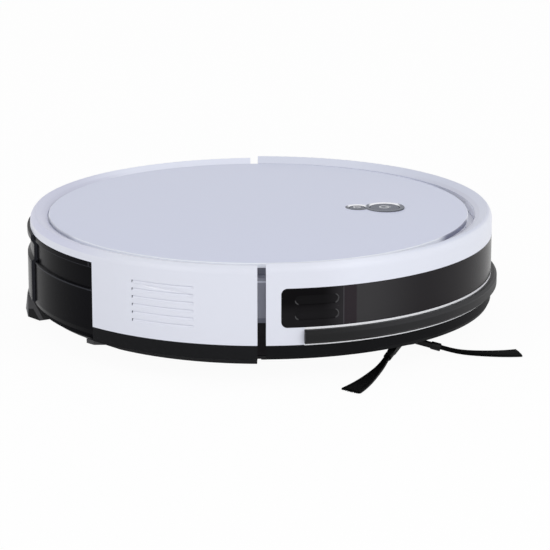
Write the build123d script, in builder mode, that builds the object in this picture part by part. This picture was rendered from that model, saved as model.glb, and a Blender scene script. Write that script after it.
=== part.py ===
from build123d import *
import os
from math import atan2, cos, degrees, radians, sin, sqrt, tan

# Robot vacuum, in millimetres. X points forward, Y to the left, Z up.
# The origin is on the floor under the axis of the round body.

# Round body
body_radius = 155.0
body_height = 76.0          # rear rim above the floor
ground_clearance = 9.0
pan_wall = 2.5
shell_wall = 2.5
seam_height = 24.4          # joint between the black pan and the white shell
foot_rise = 6.2             # height of the slope under the pan's edge
rear_foot_inset = 12.0      # flat floor ends this far inside the side wall
front_foot_inset = 23.0     # the same at the front, for climbing
core_wall_height = 40.0     # the pan's wall behind the bumper ends here

# Rim, deck and lid
crown_inset = 3.0           # the rim's crown lies this far inside the side wall
crown_drop = 6.0            # the side wall is straight up to here
crown_round = 1.2
rim_slope = 3.8             # fall of the rim from its crown to its inner edge
deck_drop = 5.0             # deck under the lid, below the rear rim
deck_thickness = 2.5
lid_radius = 140.8
lid_shift = 1.8             # the lid's centre lies this far behind the body's axis
lid_edge = 3.0
lid_crown = 1.8
lid_crevice = 0.8
lid_bevel = 0.5

# Bumper
bumper_wall = 3.0
bumper_travel = 4.0
bumper_spare = 1.0          # left behind the bumper when it is pressed in
bumper_rise = 1.2           # the bumper's rim stands above the rear rim
bumper_end = 0.3            # x of the bumper's two rear ends
seam_spare = 1.4            # left of the side seams when it is pressed in
ledge_drop = 10.0           # ledge that carries the bumper's rim, below the rear rim
rib_wall = 2.0
skirt_low = 15.1
skirt_wall = 2.5
window_top_drop = 14.9      # below the rear rim
window_height = 25.4
window_half_angle = 86.4
window_corner = 4.0
window_thickness = 1.6
window_overlap = 2.0        # rebate that the window sits on
insert_angle = 14.7         # length of the gloss inserts at the window's ends
pill_length = 28.5          # two sunk pills on each insert, one above the other
pill_shift = 3.0            # they lie this far ahead of the insert's middle
pill_height = 6.0
pill_pitch = 9.8
pill_recess = 0.7
strip_lift = 1.1            # above the joint of shell and skirt
strip_height = 8.8
strip_half_angle = 81.0
strip_proud = 4.0
strip_depth = 0.8
strip_round = 1.6
flag_y = 70.0               # the bumper's two sensor flags
flag_width = 6.0
flag_height = 8.0
flag_low = 28.0
flag_length = 31.0
flag_play = 1.0             # round a flag in its slots

# Fits
fit_gap = 0.3               # between pieces that move past each other
seat_gap = 0.05             # between pieces that are fixed together
running_gap = 0.05          # radial, shaft in bearing

# Dust bin
bin_half_angle = 45.0
bin_top_drop = 9.0          # top of the bin's opening, below the rear rim
bin_face_depth = 7.7
bin_wall = 2.0
bin_floor_gap = 0.5
bay_side_length = 24.0
bay_gap = 1.5               # between the bay's front wall and the brush housing
notch_depth = 27.0          # the pan is cut away under the bin's face
bin_side_inset = 5.4        # tub's side inside the edge of its face
bin_lid_thickness = 2.0
lip_height = 3.3
grip_height = 15.0          # recessed band under the lip
grip_depth = 2.0
tuck_height = 6.6           # the face curves inwards below this height
tuck_depth = 3.0
panel_half_angle = 13.6
panel_proud = 2.0
panel_ridge = 1.4
button_low = 23.5
button_height = 24.0
button_travel_in = 2.5
button_pocket_wall = 1.7
mouth_half = 62.0
mouth_low = 20.0
mouth_height = 16.0
filter_half = 40.0
filter_height = 17.0
filter_depth = 9.0
filter_frame_wall = 3.0
pleat_count = 18
pleat_thickness = 0.8
pleat_inset = 1.0
runner_height = 3.0
runner_spare = 7.0          # runners end this far behind the tub's front
runner_inset = 0.6          # and this far inside the body's outline
skid_half = 13.0
skid_floor_gap = 1.0
skid_proud = 3.6
skid_length = 29.5
skid_fin = 2.4
skid_ramp = 12.0
skid_heel = 9.0
skid_lip = 1.2

# Main brush
brush_x = -45.0
brush_radius = 21.0
brush_floor_gap = 1.0
brush_half = 68.0
brush_core_radius = 8.0
brush_twist = 35.0          # chevron angle from the middle to each end
brush_rows = 3
row_strands = 54
row_width = 4.0
row_thickness = 2.2
row_gap = 0.2
blade_thickness = 1.8
blade_short = 0.5           # the blades end this far inside the bristles
brush_strand = 0.55
brush_disc_radius = 19.0
brush_disc_width = 2.0
brush_disc_gap = 1.5        # between the rows' ends, the discs and the housing
brush_axle_radius = 3.0
chamber_gap = 2.5
housing_wall = 2.5
housing_flange = 3.0
guard_thickness = 2.5
guard_margin = 5.5
guard_side_margin = 4.0
brush_motor_width = 34.0
brush_motor_gap = 1.0

# Fan
fan_radius = 29.5
fan_wall = 2.0
fan_play = 1.0
impeller_radius = 22.0
impeller_blades = 9
impeller_disc = 1.6
blade_ring = 13.2           # radius of the blades' middles
blade_length = 15.4
blade_sweep = 25.0
fan_motor_radius = 14.0
fan_shaft_radius = 1.5
duct_width = 24.0
duct_end = 132.0

# Drive wheels and their swinging arms
wheel_y = 96.5
wheel_radius = 29.0
wheel_width = 15.0
wheel_gap = 2.5
rim_radius = 22.5
spoke_count = 5
spoke_hole = 4.5
spoke_ring = 14.0
rim_round = 1.0
tread_count = 30
tread_depth = 1.4
tread_width = 2.2
wheel_axle_radius = 3.0
arm_thickness = 6.5
arm_gap = 0.7
arm_pivot_ahead = 38.0
arm_pivot_rise = 7.0
arm_hub_radius = 7.0
arm_axle_boss = 14.0
arm_play = 1.0
pivot_radius = 2.5
well_wall = 2.0
well_play = 6.0

# Caster
caster_x = 104.0
caster_trail = 5.0
caster_wheel_radius = 12.0
caster_wheel_width = 13.0
caster_radius = 17.5
caster_low = 6.5
caster_stem_radius = 4.0
caster_stem = 11.0
caster_play = 1.0
caster_roof_gap = 3.0
caster_slot_gap = 0.5
caster_fork_round = 2.0
caster_tread_round = 1.5
caster_cup_wall = 2.0
caster_axle_radius = 2.0

# Side brushes
side_brush_inset = 23.0     # hub inside the side wall
side_brush_angle = 47.0     # hub's bearing from the front
side_hub_radius = 11.0
side_hub_low = 9.8
side_hub_height = 4.2
side_hub_round = 1.5
side_pocket_radius = 22.0
side_pocket_rise = 5.8      # the hub is sunk in a pocket of the pan's floor
side_stem_radius = 3.0
side_stem_top = 32.0
side_boss_radius = 11.0
arm_reach = 24.1
arm_width = 5.0
arm_depth = 3.0
arm_root_z = 12.2           # the arms slope down from the hub's axis
arm_end_z = 5.1
arm_rest_angle = 1.4        # arm that points furthest forward
collar_radius = 2.6
collar_length = 6.0
collar_wall = 0.35
plug_length = 2.0
tuft_reaches = (77.2, 90.0, 84.0)
tuft_bends = (-2.0, 5.0, 3.0)   # how far each tuft's tip lies aside of its arm, in degrees
tuft_landing = 2.0          # rounding where the bristles come down to the floor
tuft_tip_half = 7.0
tuft_root_half = 1.5
tuft_spread = 1.5           # power by which the bundle widens, slowly at first
tuft_root_rise = 1.4
tuft_tip_rise = 0.5
tuft_round = 0.6            # how much thinner the bundle is at its edges
tuft_floor_gap = 0.6
tuft_stations = (0.0, 0.15, 0.3, 0.6, 1.0)   # shares of its run where a strand bends
tuft_columns = 9
tuft_layers = 3
tuft_strand = 0.17
side_motor_base = 18.0
side_motor_height = 22.0
side_motor_length = 37.0
side_motor_width = 28.0
side_motor_gap = 1.0
side_motor_round = 5.0

# Battery, boards and underside
battery_x = 44.0
battery_length = 72.0
battery_width = 72.0
battery_height = 20.0
battery_play = 0.5
battery_wall = 2.0
cover_lip = 5.0
cover_round = 2.0
screw_head_radius = 3.0
screw_head = 1.6
screw_shank_radius = 1.4
screw_length = 10.0
board_x = 50.0
board_length = 84.0
board_width = 108.0
board_thickness = 1.6
board_height = 46.0
chips = ((-12.0, -20.0, 16.0), (18.0, 22.0, 11.2), (26.0, -30.0, 9.6))    # x, y, side
chip_height = 2.0
post_radius = 3.5
post_inset = 4.0
contact_x = 122.0
contact_y = 34.0
contact_length = 8.0
contact_width = 20.0
contact_proud = 0.4
cliff_y = 56.0
cliff_x = 112.0
cliff_front_x = 127.0
cliff_length = 7.0
cliff_width = 16.0
sensor_x = 101.0
sensor_length = 14.0
sensor_width = 14.0
sensor_base = 24.0
sensor_height = 16.0
sensor_pillar_radius = 4.0
boss_points = ((60.0, 75.0), (0.0, 72.0))
boss_radius = 4.5

# Buttons on the lid
power_x = 83.2
power_ring_radius = 13.5
power_radius = 10.2
home_x = 64.7
home_ring_radius = 8.0
home_radius = 5.4
ring_proud = 0.5
button_sink = 0.2
button_travel = 0.8
button_spare = 0.2
power_stem_radius = 3.0
home_stem_radius = 2.0
key_board_drop = 9.0
key_board_length = 52.0
key_board_width = 28.0
key_switch = 6.0
key_switch_height = 3.5

# Louvres in the right-hand wall
vent_angle = 114.8
vent_width = 43.0
vent_count = 6
vent_pitch = 5.04
vent_slot = 2.0
vent_middle = 47.5
vent_recess = 1.2           # each louvre slopes in this far, up to a narrow slot through the wall
vent_gap = 0.4

# Heights and radii that follow from these
pan_top = ground_clearance + pan_wall
band_low = ground_clearance + foot_rise
deck_top = body_height - deck_drop
deck_under = deck_top - deck_thickness
lid_top = deck_top + lid_edge + lid_crown
lid_front = lid_radius - lid_shift
rear_rim_inner = lid_radius + lid_shift + lid_crevice
bumper_inner = body_radius - bumper_wall
core_radius = bumper_inner - bumper_travel - bumper_spare
core_foot_inset = front_foot_inset - (body_radius - core_radius)
seam_rear = bumper_end - bumper_travel - seam_spare
ledge_top = body_height - ledge_drop
step_radius = lid_front - lid_crevice
bumper_rim_inner = lid_front + bumper_travel + lid_crevice
bumper_top = body_height + bumper_rise
window_top = body_height - window_top_drop
window_low = window_top - window_height
strip_low = seam_height + strip_lift
strip_high = strip_low + strip_height
strip_bed = body_radius - strip_depth
bay_half = body_radius * sin(radians(bin_half_angle))
bin_top = body_height - bin_top_drop
brush_z = brush_radius + brush_floor_gap
chamber_radius = brush_radius + chamber_gap
housing_radius = chamber_radius + housing_wall
housing_top = brush_z + housing_radius
disc_half = brush_half + brush_disc_gap + brush_disc_width
chamber_half = disc_half + brush_disc_gap
housing_half = chamber_half + housing_wall
bay_wall_front = brush_x - housing_radius - housing_flange - bay_gap
bay_wall_rear = bay_wall_front - bin_wall
bin_front = bay_wall_rear - bin_floor_gap
bin_low = pan_top + bin_floor_gap
bin_face_low = band_low
bin_face_top = bin_top - fit_gap
bin_half = bay_half - fit_gap
tub_radius = body_radius - bin_face_depth - seat_gap
tub_half = bay_half - bin_side_inset
tub_top = bin_face_top - bin_lid_thickness
notch_radius = body_radius - notch_depth
mouth_high = mouth_low + mouth_height
far = 2 * body_radius       # longer than any piece, for cuts that go right through
over = 1.0                  # how far a cut runs past the wall that it opens


# Box between two opposite corners, in the part being built
def corner_box(low, high, mode=Mode.ADD):
    with Locations(tuple((a + b) / 2 for a, b in zip(low, high))):
        return Box(*(abs(b - a) for a, b in zip(low, high)), mode=mode)


# Upright cylinder from one height to another
def post(x, y, low, high, radius, mode=Mode.ADD):
    with Locations((x, y, (low + high) / 2)):
        return Cylinder(radius, high - low, mode=mode)


# Cylinder along Y from one side to another
def cross_pin(x, z, low, high, radius, mode=Mode.ADD):
    with Locations((x, (low + high) / 2, z)):
        return Cylinder(radius, high - low, rotation=(90, 0, 0), mode=mode)


# Solid of revolution about the body's axis from a closed (radius, height) outline
def turned(outline):
    with BuildPart() as solid:
        with BuildSketch(Plane.XZ):
            with BuildLine():
                Polyline(*outline, close=True)
            make_face()
        revolve(axis=Axis.Z)
    return solid.part


# The part of a turned solid that lies behind, or ahead of, the plane at x
def half_turned(outline, x, side):
    with BuildPart() as half:
        add(turned(outline))
        split(bisect_by=Plane.YZ.offset(x), keep=side)
    return half.part


# Solid between two bearings from the front, cut out of a turned outline
def sector(outline, start, end):
    with BuildPart() as wedge:
        with BuildSketch(Plane.XZ):
            with BuildLine():
                Polyline(*outline, close=True)
            make_face()
        revolve(axis=Axis.Z, revolution_arc=end - start)
    return wedge.part.rotate(Axis.Z, start)


# Left-hand twin of a right-hand piece
def twin(piece):
    with BuildPart() as other:
        add(piece)
        mirror(about=Plane.XZ, mode=Mode.REPLACE)
    return other.part


# Height of the lid's crowned top at x on the centre line
def lid_surface(x):
    return lid_top - lid_crown * ((x + lid_shift) / lid_radius) ** 2


pieces = {}


# Lower pan: floor, sloped foot and outer band, hollow, with the bays and posts that stand in it
def pan_outline(radius, inset, top, skin=0.0):
    slope = atan2(foot_rise, inset)
    floor = ground_clearance + skin
    floor_end = radius - inset - skin * tan(slope / 2)
    wall_start = ground_clearance + foot_rise + skin * tan((radians(90) - slope) / 2)
    return [(0, floor), (floor_end, floor), (radius - skin, wall_start), (radius - skin, top), (0, top)]


hub_x = (body_radius - side_brush_inset) * cos(radians(side_brush_angle))
hub_y = (body_radius - side_brush_inset) * sin(radians(side_brush_angle))
pocket_top = ground_clearance + side_pocket_rise
battery_low = ground_clearance + pan_wall + battery_play
battery_bay_x = battery_length / 2 + battery_play
battery_bay_y = battery_width / 2 + battery_play
battery_bay_top = battery_low + battery_height + battery_play
well_outer = wheel_y + wheel_width / 2 + wheel_gap
well_inner = wheel_y - wheel_width / 2 - arm_gap - arm_thickness - arm_gap
well_rear = -wheel_radius - well_play
well_front = arm_pivot_ahead + arm_hub_radius + arm_play
cup_radius = caster_radius + caster_play
slot_width = flag_width + 2 * flag_play

with BuildPart() as bin_notch:
    corner_box((-far, -bay_half, 0), (0, bay_half, seam_height + over))
    Cylinder(notch_radius, far, mode=Mode.SUBTRACT)

rear_pan = pan_outline(body_radius, rear_foot_inset, seam_height)
rear_hollow = pan_outline(body_radius, rear_foot_inset, seam_height + over, pan_wall)
front_pan = pan_outline(core_radius, core_foot_inset, core_wall_height)
front_hollow = pan_outline(core_radius, core_foot_inset, core_wall_height + over, pan_wall)


# Block above a side brush, inside the pan's outline, that the brush's pocket is cut into
def cup_block(side):
    with BuildPart() as block:
        post(hub_x, side * hub_y, ground_clearance, pocket_top + pan_wall, side_pocket_radius + pan_wall)
        add(turned(front_pan), mode=Mode.INTERSECT)
    return block.part


with BuildPart() as base_pan:
    add(half_turned(rear_pan, seam_rear, Keep.BOTTOM))
    add(half_turned(front_pan, seam_rear, Keep.TOP))
    add(half_turned(rear_hollow, seam_rear - pan_wall, Keep.BOTTOM), mode=Mode.SUBTRACT)
    add(turned(front_hollow), mode=Mode.SUBTRACT)
    add(bin_notch.part, mode=Mode.SUBTRACT)
    # battery bay, open below
    bay_x = battery_bay_x + battery_wall
    bay_y = battery_bay_y + battery_wall
    corner_box((battery_x - bay_x, -bay_y, ground_clearance), (battery_x + bay_x, bay_y,
               battery_bay_top + battery_wall))
    corner_box((battery_x - battery_bay_x, -battery_bay_y, 0),
               (battery_x + battery_bay_x, battery_bay_y, battery_bay_top), mode=Mode.SUBTRACT)
    # posts for the main board and pillars for the bumper's sensors
    with Locations((board_x, 0, (pan_top + board_height) / 2)):
        with GridLocations(board_length - 2 * post_inset, board_width - 2 * post_inset, 2, 2):
            Cylinder(post_radius, board_height - pan_top)
    for side in (-1, 1):
        post(sensor_x, side * flag_y, pan_top, sensor_base, sensor_pillar_radius)
        corner_box((core_radius / 2, side * flag_y - slot_width / 2, flag_low - flag_play),
                   (far, side * flag_y + slot_width / 2, flag_low + flag_height + flag_play),
                   mode=Mode.SUBTRACT)
        # side brush: cup and boss above, round pocket below, hole for the stem
        add(cup_block(side))
        post(hub_x, side * hub_y, pocket_top, side_motor_base, side_boss_radius)
        post(hub_x, side * hub_y, 0, pocket_top, side_pocket_radius, mode=Mode.SUBTRACT)
        post(hub_x, side * hub_y, 0, side_motor_base + over, side_stem_radius + fit_gap, mode=Mode.SUBTRACT)
        # wheel openings, contact slots and cliff sensor slots
        corner_box((well_rear, side * well_inner, 0), (well_front, side * well_outer, pan_top + over),
                   mode=Mode.SUBTRACT)
        corner_box((contact_x - contact_length / 2, side * (contact_y - contact_width / 2), 0),
                   (contact_x + contact_length / 2, side * (contact_y + contact_width / 2), pan_top + over),
                   mode=Mode.SUBTRACT)
        corner_box((cliff_x - cliff_length / 2, side * (cliff_y - cliff_width / 2), 0),
                   (cliff_x + cliff_length / 2, side * (cliff_y + cliff_width / 2), pan_top + over),
                   mode=Mode.SUBTRACT)
    corner_box((cliff_front_x - cliff_length / 2, -cliff_width / 2, 0),
               (cliff_front_x + cliff_length / 2, cliff_width / 2, pan_top + over), mode=Mode.SUBTRACT)
    corner_box((brush_x - housing_radius, -housing_half, 0),
               (brush_x + housing_radius, housing_half, pan_top + over), mode=Mode.SUBTRACT)
    post(caster_x, 0, 0, pan_top + over, cup_radius, mode=Mode.SUBTRACT)
    for x, y in boss_points:
        for side in (-1, 1):
            post(x, side * y, 0, pan_top + over, screw_shank_radius + seat_gap, mode=Mode.SUBTRACT)
            post(x, side * y, 0, ground_clearance + screw_head, screw_head_radius + seat_gap,
                 mode=Mode.SUBTRACT)
pieces["base_pan"] = base_pan.part


# Upper shell: rear wall with its rim, deck under the lid, core wall and ledge behind the bumper
rear_inner = body_radius - shell_wall
core_inner = core_radius - shell_wall
step_inner = step_radius - shell_wall
rear_void = [
    (0, seam_height - over),
    (rear_inner, seam_height - over),
    (rear_inner, deck_under),
    (0, deck_under),
]
core_void = [
    (0, seam_height - over),
    (core_inner, seam_height - over),
    (core_inner, ledge_top - shell_wall),
    (step_inner, ledge_top - shell_wall),
    (step_inner, deck_under),
    (0, deck_under),
]
core_shell = [
    (0, core_wall_height),
    (core_radius, core_wall_height),
    (core_radius, ledge_top),
    (step_radius, ledge_top),
    (step_radius, deck_top),
    (0, deck_top),
]

with BuildPart() as rear_ring:
    with BuildSketch(Plane.XZ) as rear_section:
        with BuildLine():
            Polyline((body_radius, body_height - crown_drop), (body_radius, seam_height), (0, seam_height),
                     (0, deck_top), (rear_rim_inner, deck_top), (rear_rim_inner, body_height - rim_slope),
                     (body_radius - crown_inset, body_height))
            TangentArc((body_radius, body_height - crown_drop), (body_radius - crown_inset, body_height),
                       tangent=(0, 1))
        make_face()
        fillet(rear_section.vertices().sort_by(Axis.Y)[-1], crown_round)
    revolve(axis=Axis.Z)
    split(bisect_by=Plane.YZ.offset(seam_rear), keep=Keep.BOTTOM)

key_board_top = deck_under - key_board_drop
key_board_x = (power_x + home_x) / 2
vent_half = degrees(vent_width / 2 / body_radius)
vent_low = vent_middle - (vent_count - 1) * vent_pitch / 2 - vent_slot / 2
slit_start = body_radius - vent_recess * (1 - vent_gap / vent_slot)

with BuildPart() as upper_shell:
    add(rear_ring.part)
    add(half_turned(core_shell, seam_rear, Keep.TOP))
    add(half_turned(rear_void, seam_rear - shell_wall, Keep.BOTTOM), mode=Mode.SUBTRACT)
    add(turned(core_void), mode=Mode.SUBTRACT)
    corner_box((-far, -bay_half, 0), (-body_radius / 2, bay_half, bin_top), mode=Mode.SUBTRACT)
    # screw bosses down to the pan, and posts for the button board
    for x, y in boss_points:
        for side in (-1, 1):
            post(x, side * y, pan_top, deck_under, boss_radius)
            post(x, side * y, 0, pan_top + screw_length, screw_shank_radius + seat_gap, mode=Mode.SUBTRACT)
    with Locations((key_board_x, 0, (key_board_top + deck_under) / 2)):
        with GridLocations(key_board_length - 2 * post_inset, key_board_width - 2 * post_inset, 2, 2):
            Cylinder(post_radius, deck_under - key_board_top)
    post(power_x, 0, 0, far, power_stem_radius + fit_gap, mode=Mode.SUBTRACT)
    post(home_x, 0, 0, far, home_stem_radius + fit_gap, mode=Mode.SUBTRACT)
    # louvres: floors that slope into the wall, each with a narrow slot at its top
    for i in range(vent_count):
        low = vent_low + i * vent_pitch
        high = low + vent_slot
        add(sector([(body_radius, low), (far, low), (far, high), (rear_inner - over, high),
                    (rear_inner - over, high - vent_gap), (slit_start, high - vent_gap)],
                   -vent_angle - vent_half, -vent_angle + vent_half), mode=Mode.SUBTRACT)
pieces["upper_shell"] = upper_shell.part


# Lid: a crowned disc on the deck, with the opening for the button bezel
lid_axis = Axis((-lid_shift, 0, 0), (0, 0, 1))
lid_plane = Plane(origin=(-lid_shift, 0, 0), x_dir=(1, 0, 0), z_dir=(0, -1, 0))
with BuildPart() as top_panel:
    with BuildSketch(lid_plane):
        with BuildLine():
            Polyline((0, lid_top), (0, deck_top), (lid_radius, deck_top),
                     (lid_radius, deck_top + lid_edge - lid_bevel),
                     (lid_radius - lid_bevel, deck_top + lid_edge))
            TangentArc((0, lid_top), (lid_radius - lid_bevel, deck_top + lid_edge), tangent=(1, 0))
        make_face()
    revolve(axis=lid_axis)
    with BuildSketch():
        with Locations((power_x, 0)):
            Circle(power_ring_radius + seat_gap)
        with Locations((home_x, 0)):
            Circle(home_ring_radius + seat_gap)
    extrude(amount=far, mode=Mode.SUBTRACT)
pieces["top_panel"] = top_panel.part

ring_top = lid_surface(power_x) + ring_proud
with BuildPart() as button_ring:
    with BuildSketch(Plane.XY.offset(deck_top)):
        with Locations((power_x, 0)):
            Circle(power_ring_radius)
        with Locations((home_x, 0)):
            Circle(home_ring_radius)
        with Locations((power_x, 0)):
            Circle(power_radius, mode=Mode.SUBTRACT)
        with Locations((home_x, 0)):
            Circle(home_radius, mode=Mode.SUBTRACT)
    extrude(amount=ring_top - deck_top)
    chamfer(button_ring.faces().sort_by(Axis.Z)[-1].edges(), 0.6 * ring_proud)
pieces["button_ring"] = button_ring.part

key_top = key_board_top + key_switch_height
for label, x, radius, stem in (
    ("power_button", power_x, power_radius, power_stem_radius),
    ("home_button", home_x, home_radius, home_stem_radius),
):
    with BuildPart() as key:
        post(x, 0, deck_top + button_travel + button_spare, ring_top - button_sink, radius - fit_gap)
        fillet(key.faces().sort_by(Axis.Z)[-1].edges(), ring_proud)
        post(x, 0, key_top + button_travel + button_spare, deck_top + 2 * button_travel, stem)
    pieces[label] = key.part

with BuildPart() as key_board:
    with Locations((key_board_x, 0, key_board_top - board_thickness / 2)):
        Box(key_board_length, key_board_width, board_thickness)
    for x in (power_x, home_x):
        corner_box((x - key_switch / 2, -key_switch / 2, key_board_top),
                   (x + key_switch / 2, key_switch / 2, key_top))
pieces["key_board"] = key_board.part


# Bumper: front half ring with its rim, riding on the ledge
rib_low = ledge_top + fit_gap
rim_under = bumper_top - rim_slope - rib_wall
with BuildPart() as bumper_ring:
    with BuildSketch(Plane.XZ) as bumper_section:
        with BuildLine():
            Polyline((body_radius, bumper_top - crown_drop), (body_radius, seam_height),
                     (bumper_inner, seam_height), (bumper_inner, bumper_top - crown_drop - rib_wall),
                     (body_radius - 2 * crown_inset, rim_under), (bumper_rim_inner + rib_wall, rim_under),
                     (bumper_rim_inner + rib_wall, rib_low), (bumper_rim_inner, rib_low),
                     (bumper_rim_inner, bumper_top - rim_slope), (body_radius - crown_inset, bumper_top))
            TangentArc((body_radius, bumper_top - crown_drop), (body_radius - crown_inset, bumper_top),
                       tangent=(0, 1))
        make_face()
        fillet(bumper_section.vertices().sort_by(Axis.Y)[-1], crown_round)
    revolve(axis=Axis.Z)
    split(bisect_by=Plane.YZ.offset(bumper_end), keep=Keep.TOP)


# Curved panel with rounded corners: a sector trimmed by corner radii at its two ends
def curved_panel(inner, outer, low, high, half_angle, corner):
    with BuildPart() as panel:
        add(sector([(inner, low), (outer, low), (outer, high), (inner, high)], -half_angle, half_angle))
        if corner:
            fillet(panel.edges().filter_by(lambda e: abs(e.tangent_at(0.5).Z) < 0.01
                   and abs(e.length - (outer - inner)) < 0.01), corner)
    return panel.part


window_inner = body_radius - seat_gap - window_thickness
window_rebate = window_inner - seat_gap
insert_half = window_half_angle - insert_angle
pane_gap = degrees(seat_gap / body_radius)
whole_window = curved_panel(window_inner, body_radius, window_low + seat_gap, window_top - seat_gap,
                            window_half_angle - pane_gap, window_corner)

with BuildPart() as bumper_shell:
    add(bumper_ring.part)
    add(curved_panel(window_rebate, body_radius + over, window_low, window_top, window_half_angle,
                     window_corner), mode=Mode.SUBTRACT)
    add(curved_panel(bumper_inner - over, body_radius, window_low + window_overlap,
                     window_top - window_overlap, insert_half - over, 0), mode=Mode.SUBTRACT)
    add(sector([(strip_bed, strip_low), (far, strip_low), (far, strip_high), (strip_bed, strip_high)],
               -strip_half_angle, strip_half_angle), mode=Mode.SUBTRACT)
    # flags that the chassis sensors watch
    for side in (-1, 1):
        flag_x = sqrt(bumper_inner**2 - (flag_y - flag_width / 2) ** 2)
        root_x = sqrt((bumper_inner + bumper_wall / 3) ** 2 - (flag_y + flag_width / 2) ** 2)
        corner_box((flag_x - flag_length, side * flag_y - flag_width / 2, flag_low),
                   (root_x, side * flag_y + flag_width / 2, flag_low + flag_height))
pieces["bumper_shell"] = bumper_shell.part

with BuildPart() as bumper_window:
    add(whole_window)
    add(sector([(0, 0), (far, 0), (far, far), (0, far)], -insert_half + pane_gap, insert_half - pane_gap),
        mode=Mode.INTERSECT)
pieces["bumper_window"] = bumper_window.part

# Gloss inserts with two sunk pills, one above the other
pill_bearing = radians((insert_half + window_half_angle) / 2) - pill_shift / body_radius
pill_plane = Plane(
    origin=(body_radius * cos(pill_bearing), -body_radius * sin(pill_bearing),
            (window_low + window_top) / 2),
    x_dir=(sin(pill_bearing), cos(pill_bearing), 0),
    z_dir=(cos(pill_bearing), -sin(pill_bearing), 0),
)
with BuildPart() as pills:
    with BuildSketch(pill_plane):
        with GridLocations(0, pill_pitch, 1, 2):
            SlotOverall(pill_length, pill_height)
    extrude(amount=4 * pill_recess, both=True)
    post(0, 0, 0, far, body_radius - pill_recess, mode=Mode.SUBTRACT)

with BuildPart() as window_insert:
    add(whole_window)
    add(sector([(0, 0), (far, 0), (far, far), (0, far)], -window_half_angle - over,
               -insert_half - pane_gap), mode=Mode.INTERSECT)
    add(pills.part, mode=Mode.SUBTRACT)
pieces["window_insert_right"] = window_insert.part
pieces["window_insert_left"] = twin(window_insert.part)

strip_seat = strip_bed + seat_gap
strip_low_edge = strip_low + seat_gap
strip_high_edge = strip_high - seat_gap
with BuildPart() as bumper_strip:
    add(sector([(strip_seat, strip_low_edge), (body_radius + strip_proud - strip_round, strip_low_edge),
                (body_radius + strip_proud, strip_low_edge + strip_round),
                (body_radius + strip_proud, strip_high_edge - strip_round),
                (body_radius + strip_proud - strip_round, strip_high_edge), (strip_seat, strip_high_edge)],
               -strip_half_angle + pane_gap, strip_half_angle - pane_gap))
pieces["bumper_strip"] = bumper_strip.part

skirt_ring = [(body_radius - skirt_wall, skirt_low), (body_radius - skirt_wall / 2, skirt_low),
              (body_radius, skirt_low + skirt_wall), (body_radius, seam_height),
              (body_radius - skirt_wall, seam_height)]
pieces["bumper_skirt"] = half_turned(skirt_ring, bumper_end, Keep.TOP)


# Bumper sensors: forked blocks on the pan's pillars, with the flag's way between the arms
with BuildPart() as bumper_sensors:
    for side in (-1, 1):
        with Locations((sensor_x, side * flag_y, sensor_base + sensor_height / 2)):
            Box(sensor_length, sensor_width, sensor_height)
        corner_box((0, side * flag_y - slot_width / 2, flag_low - flag_play),
                   (far, side * flag_y + slot_width / 2, far), mode=Mode.SUBTRACT)
pieces["bumper_sensors"] = bumper_sensors.part


# Dust bin: face in the round of the body, tub, lid, filter
lip_low = bin_face_top - lip_height
grip_low = lip_low - grip_height
face_inner = body_radius - bin_face_depth


# Outline of the bin's face, grown by a gap
def face_profile(gap):
    outer = body_radius + gap
    return [
        (face_inner - gap, bin_face_low - gap),
        (outer - tuck_depth, bin_face_low - gap),
        (outer - tuck_depth / 4, bin_face_low + tuck_height / 2 - gap),
        (outer, bin_face_low + tuck_height),
        (outer, grip_low),
        (outer - grip_depth, grip_low + grip_depth / 2),
        (outer - grip_depth, lip_low - grip_depth / 2),
        (outer, lip_low),
        (outer, bin_face_top + gap),
        (face_inner - gap, bin_face_top + gap),
    ]


button_top = button_low + button_height
panel_outline = [
    (face_inner, button_low - 2 * panel_ridge),
    (body_radius, button_low - 2 * panel_ridge),
    (body_radius + panel_proud, button_low - panel_ridge),
    (body_radius + panel_proud, button_top + panel_ridge),
    (body_radius, button_top + 2 * panel_ridge),
    (body_radius, lip_low - lip_height),
    (body_radius + panel_proud, lip_low),
    (body_radius + panel_proud, bin_face_top),
    (face_inner, bin_face_top),
]
button_half_angle = panel_half_angle - degrees(panel_ridge / body_radius)
pocket_radius = face_inner + button_pocket_wall
pocket_half = body_radius * sin(radians(button_half_angle))
button_inner = pocket_radius + button_travel_in + 2 * fit_gap


# Ring between two radii and heights, cut off straight at both sides so that it can slide along X
def slide_block(inner, outer, low, high, half):
    with BuildPart() as block:
        add(turned([(inner, low), (outer, low), (outer, high), (inner, high)]))
        corner_box((-far, -half, 0), (0, half, far), mode=Mode.INTERSECT)
    return block.part


with BuildPart() as bin_face:
    add(turned(face_profile(0)))
    corner_box((-far, -bin_half, 0), (0, bin_half, far), mode=Mode.INTERSECT)
    add(sector(panel_outline, 180 - panel_half_angle, 180 + panel_half_angle))
    add(slide_block(pocket_radius, far, button_low, button_top, pocket_half), mode=Mode.SUBTRACT)
pieces["bin_face"] = bin_face.part

pieces["bin_button"] = slide_block(button_inner, body_radius + panel_proud, button_low + fit_gap,
                                   button_top - fit_gap, pocket_half - 2 * fit_gap)

filter_low = tub_top - filter_height - 2 * bin_wall
with BuildPart() as bin_tub:
    post(0, 0, bin_low, tub_top, tub_radius)
    corner_box((-far, -tub_half, 0), (bin_front, tub_half, far), mode=Mode.INTERSECT)
    fillet(bin_tub.edges().filter_by(Axis.Z).group_by(Axis.X)[-1], 3 * bin_wall)
    offset(amount=-bin_wall, openings=bin_tub.faces().sort_by(Axis.Z)[-1])
    corner_box((bin_front - 2 * bin_wall, -mouth_half, mouth_low), (0, mouth_half, mouth_high),
               mode=Mode.SUBTRACT)
    corner_box((bin_front - 2 * bin_wall, -filter_half, filter_low),
               (0, filter_half, filter_low + filter_height), mode=Mode.SUBTRACT)
pieces["bin_tub"] = bin_tub.part

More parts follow.
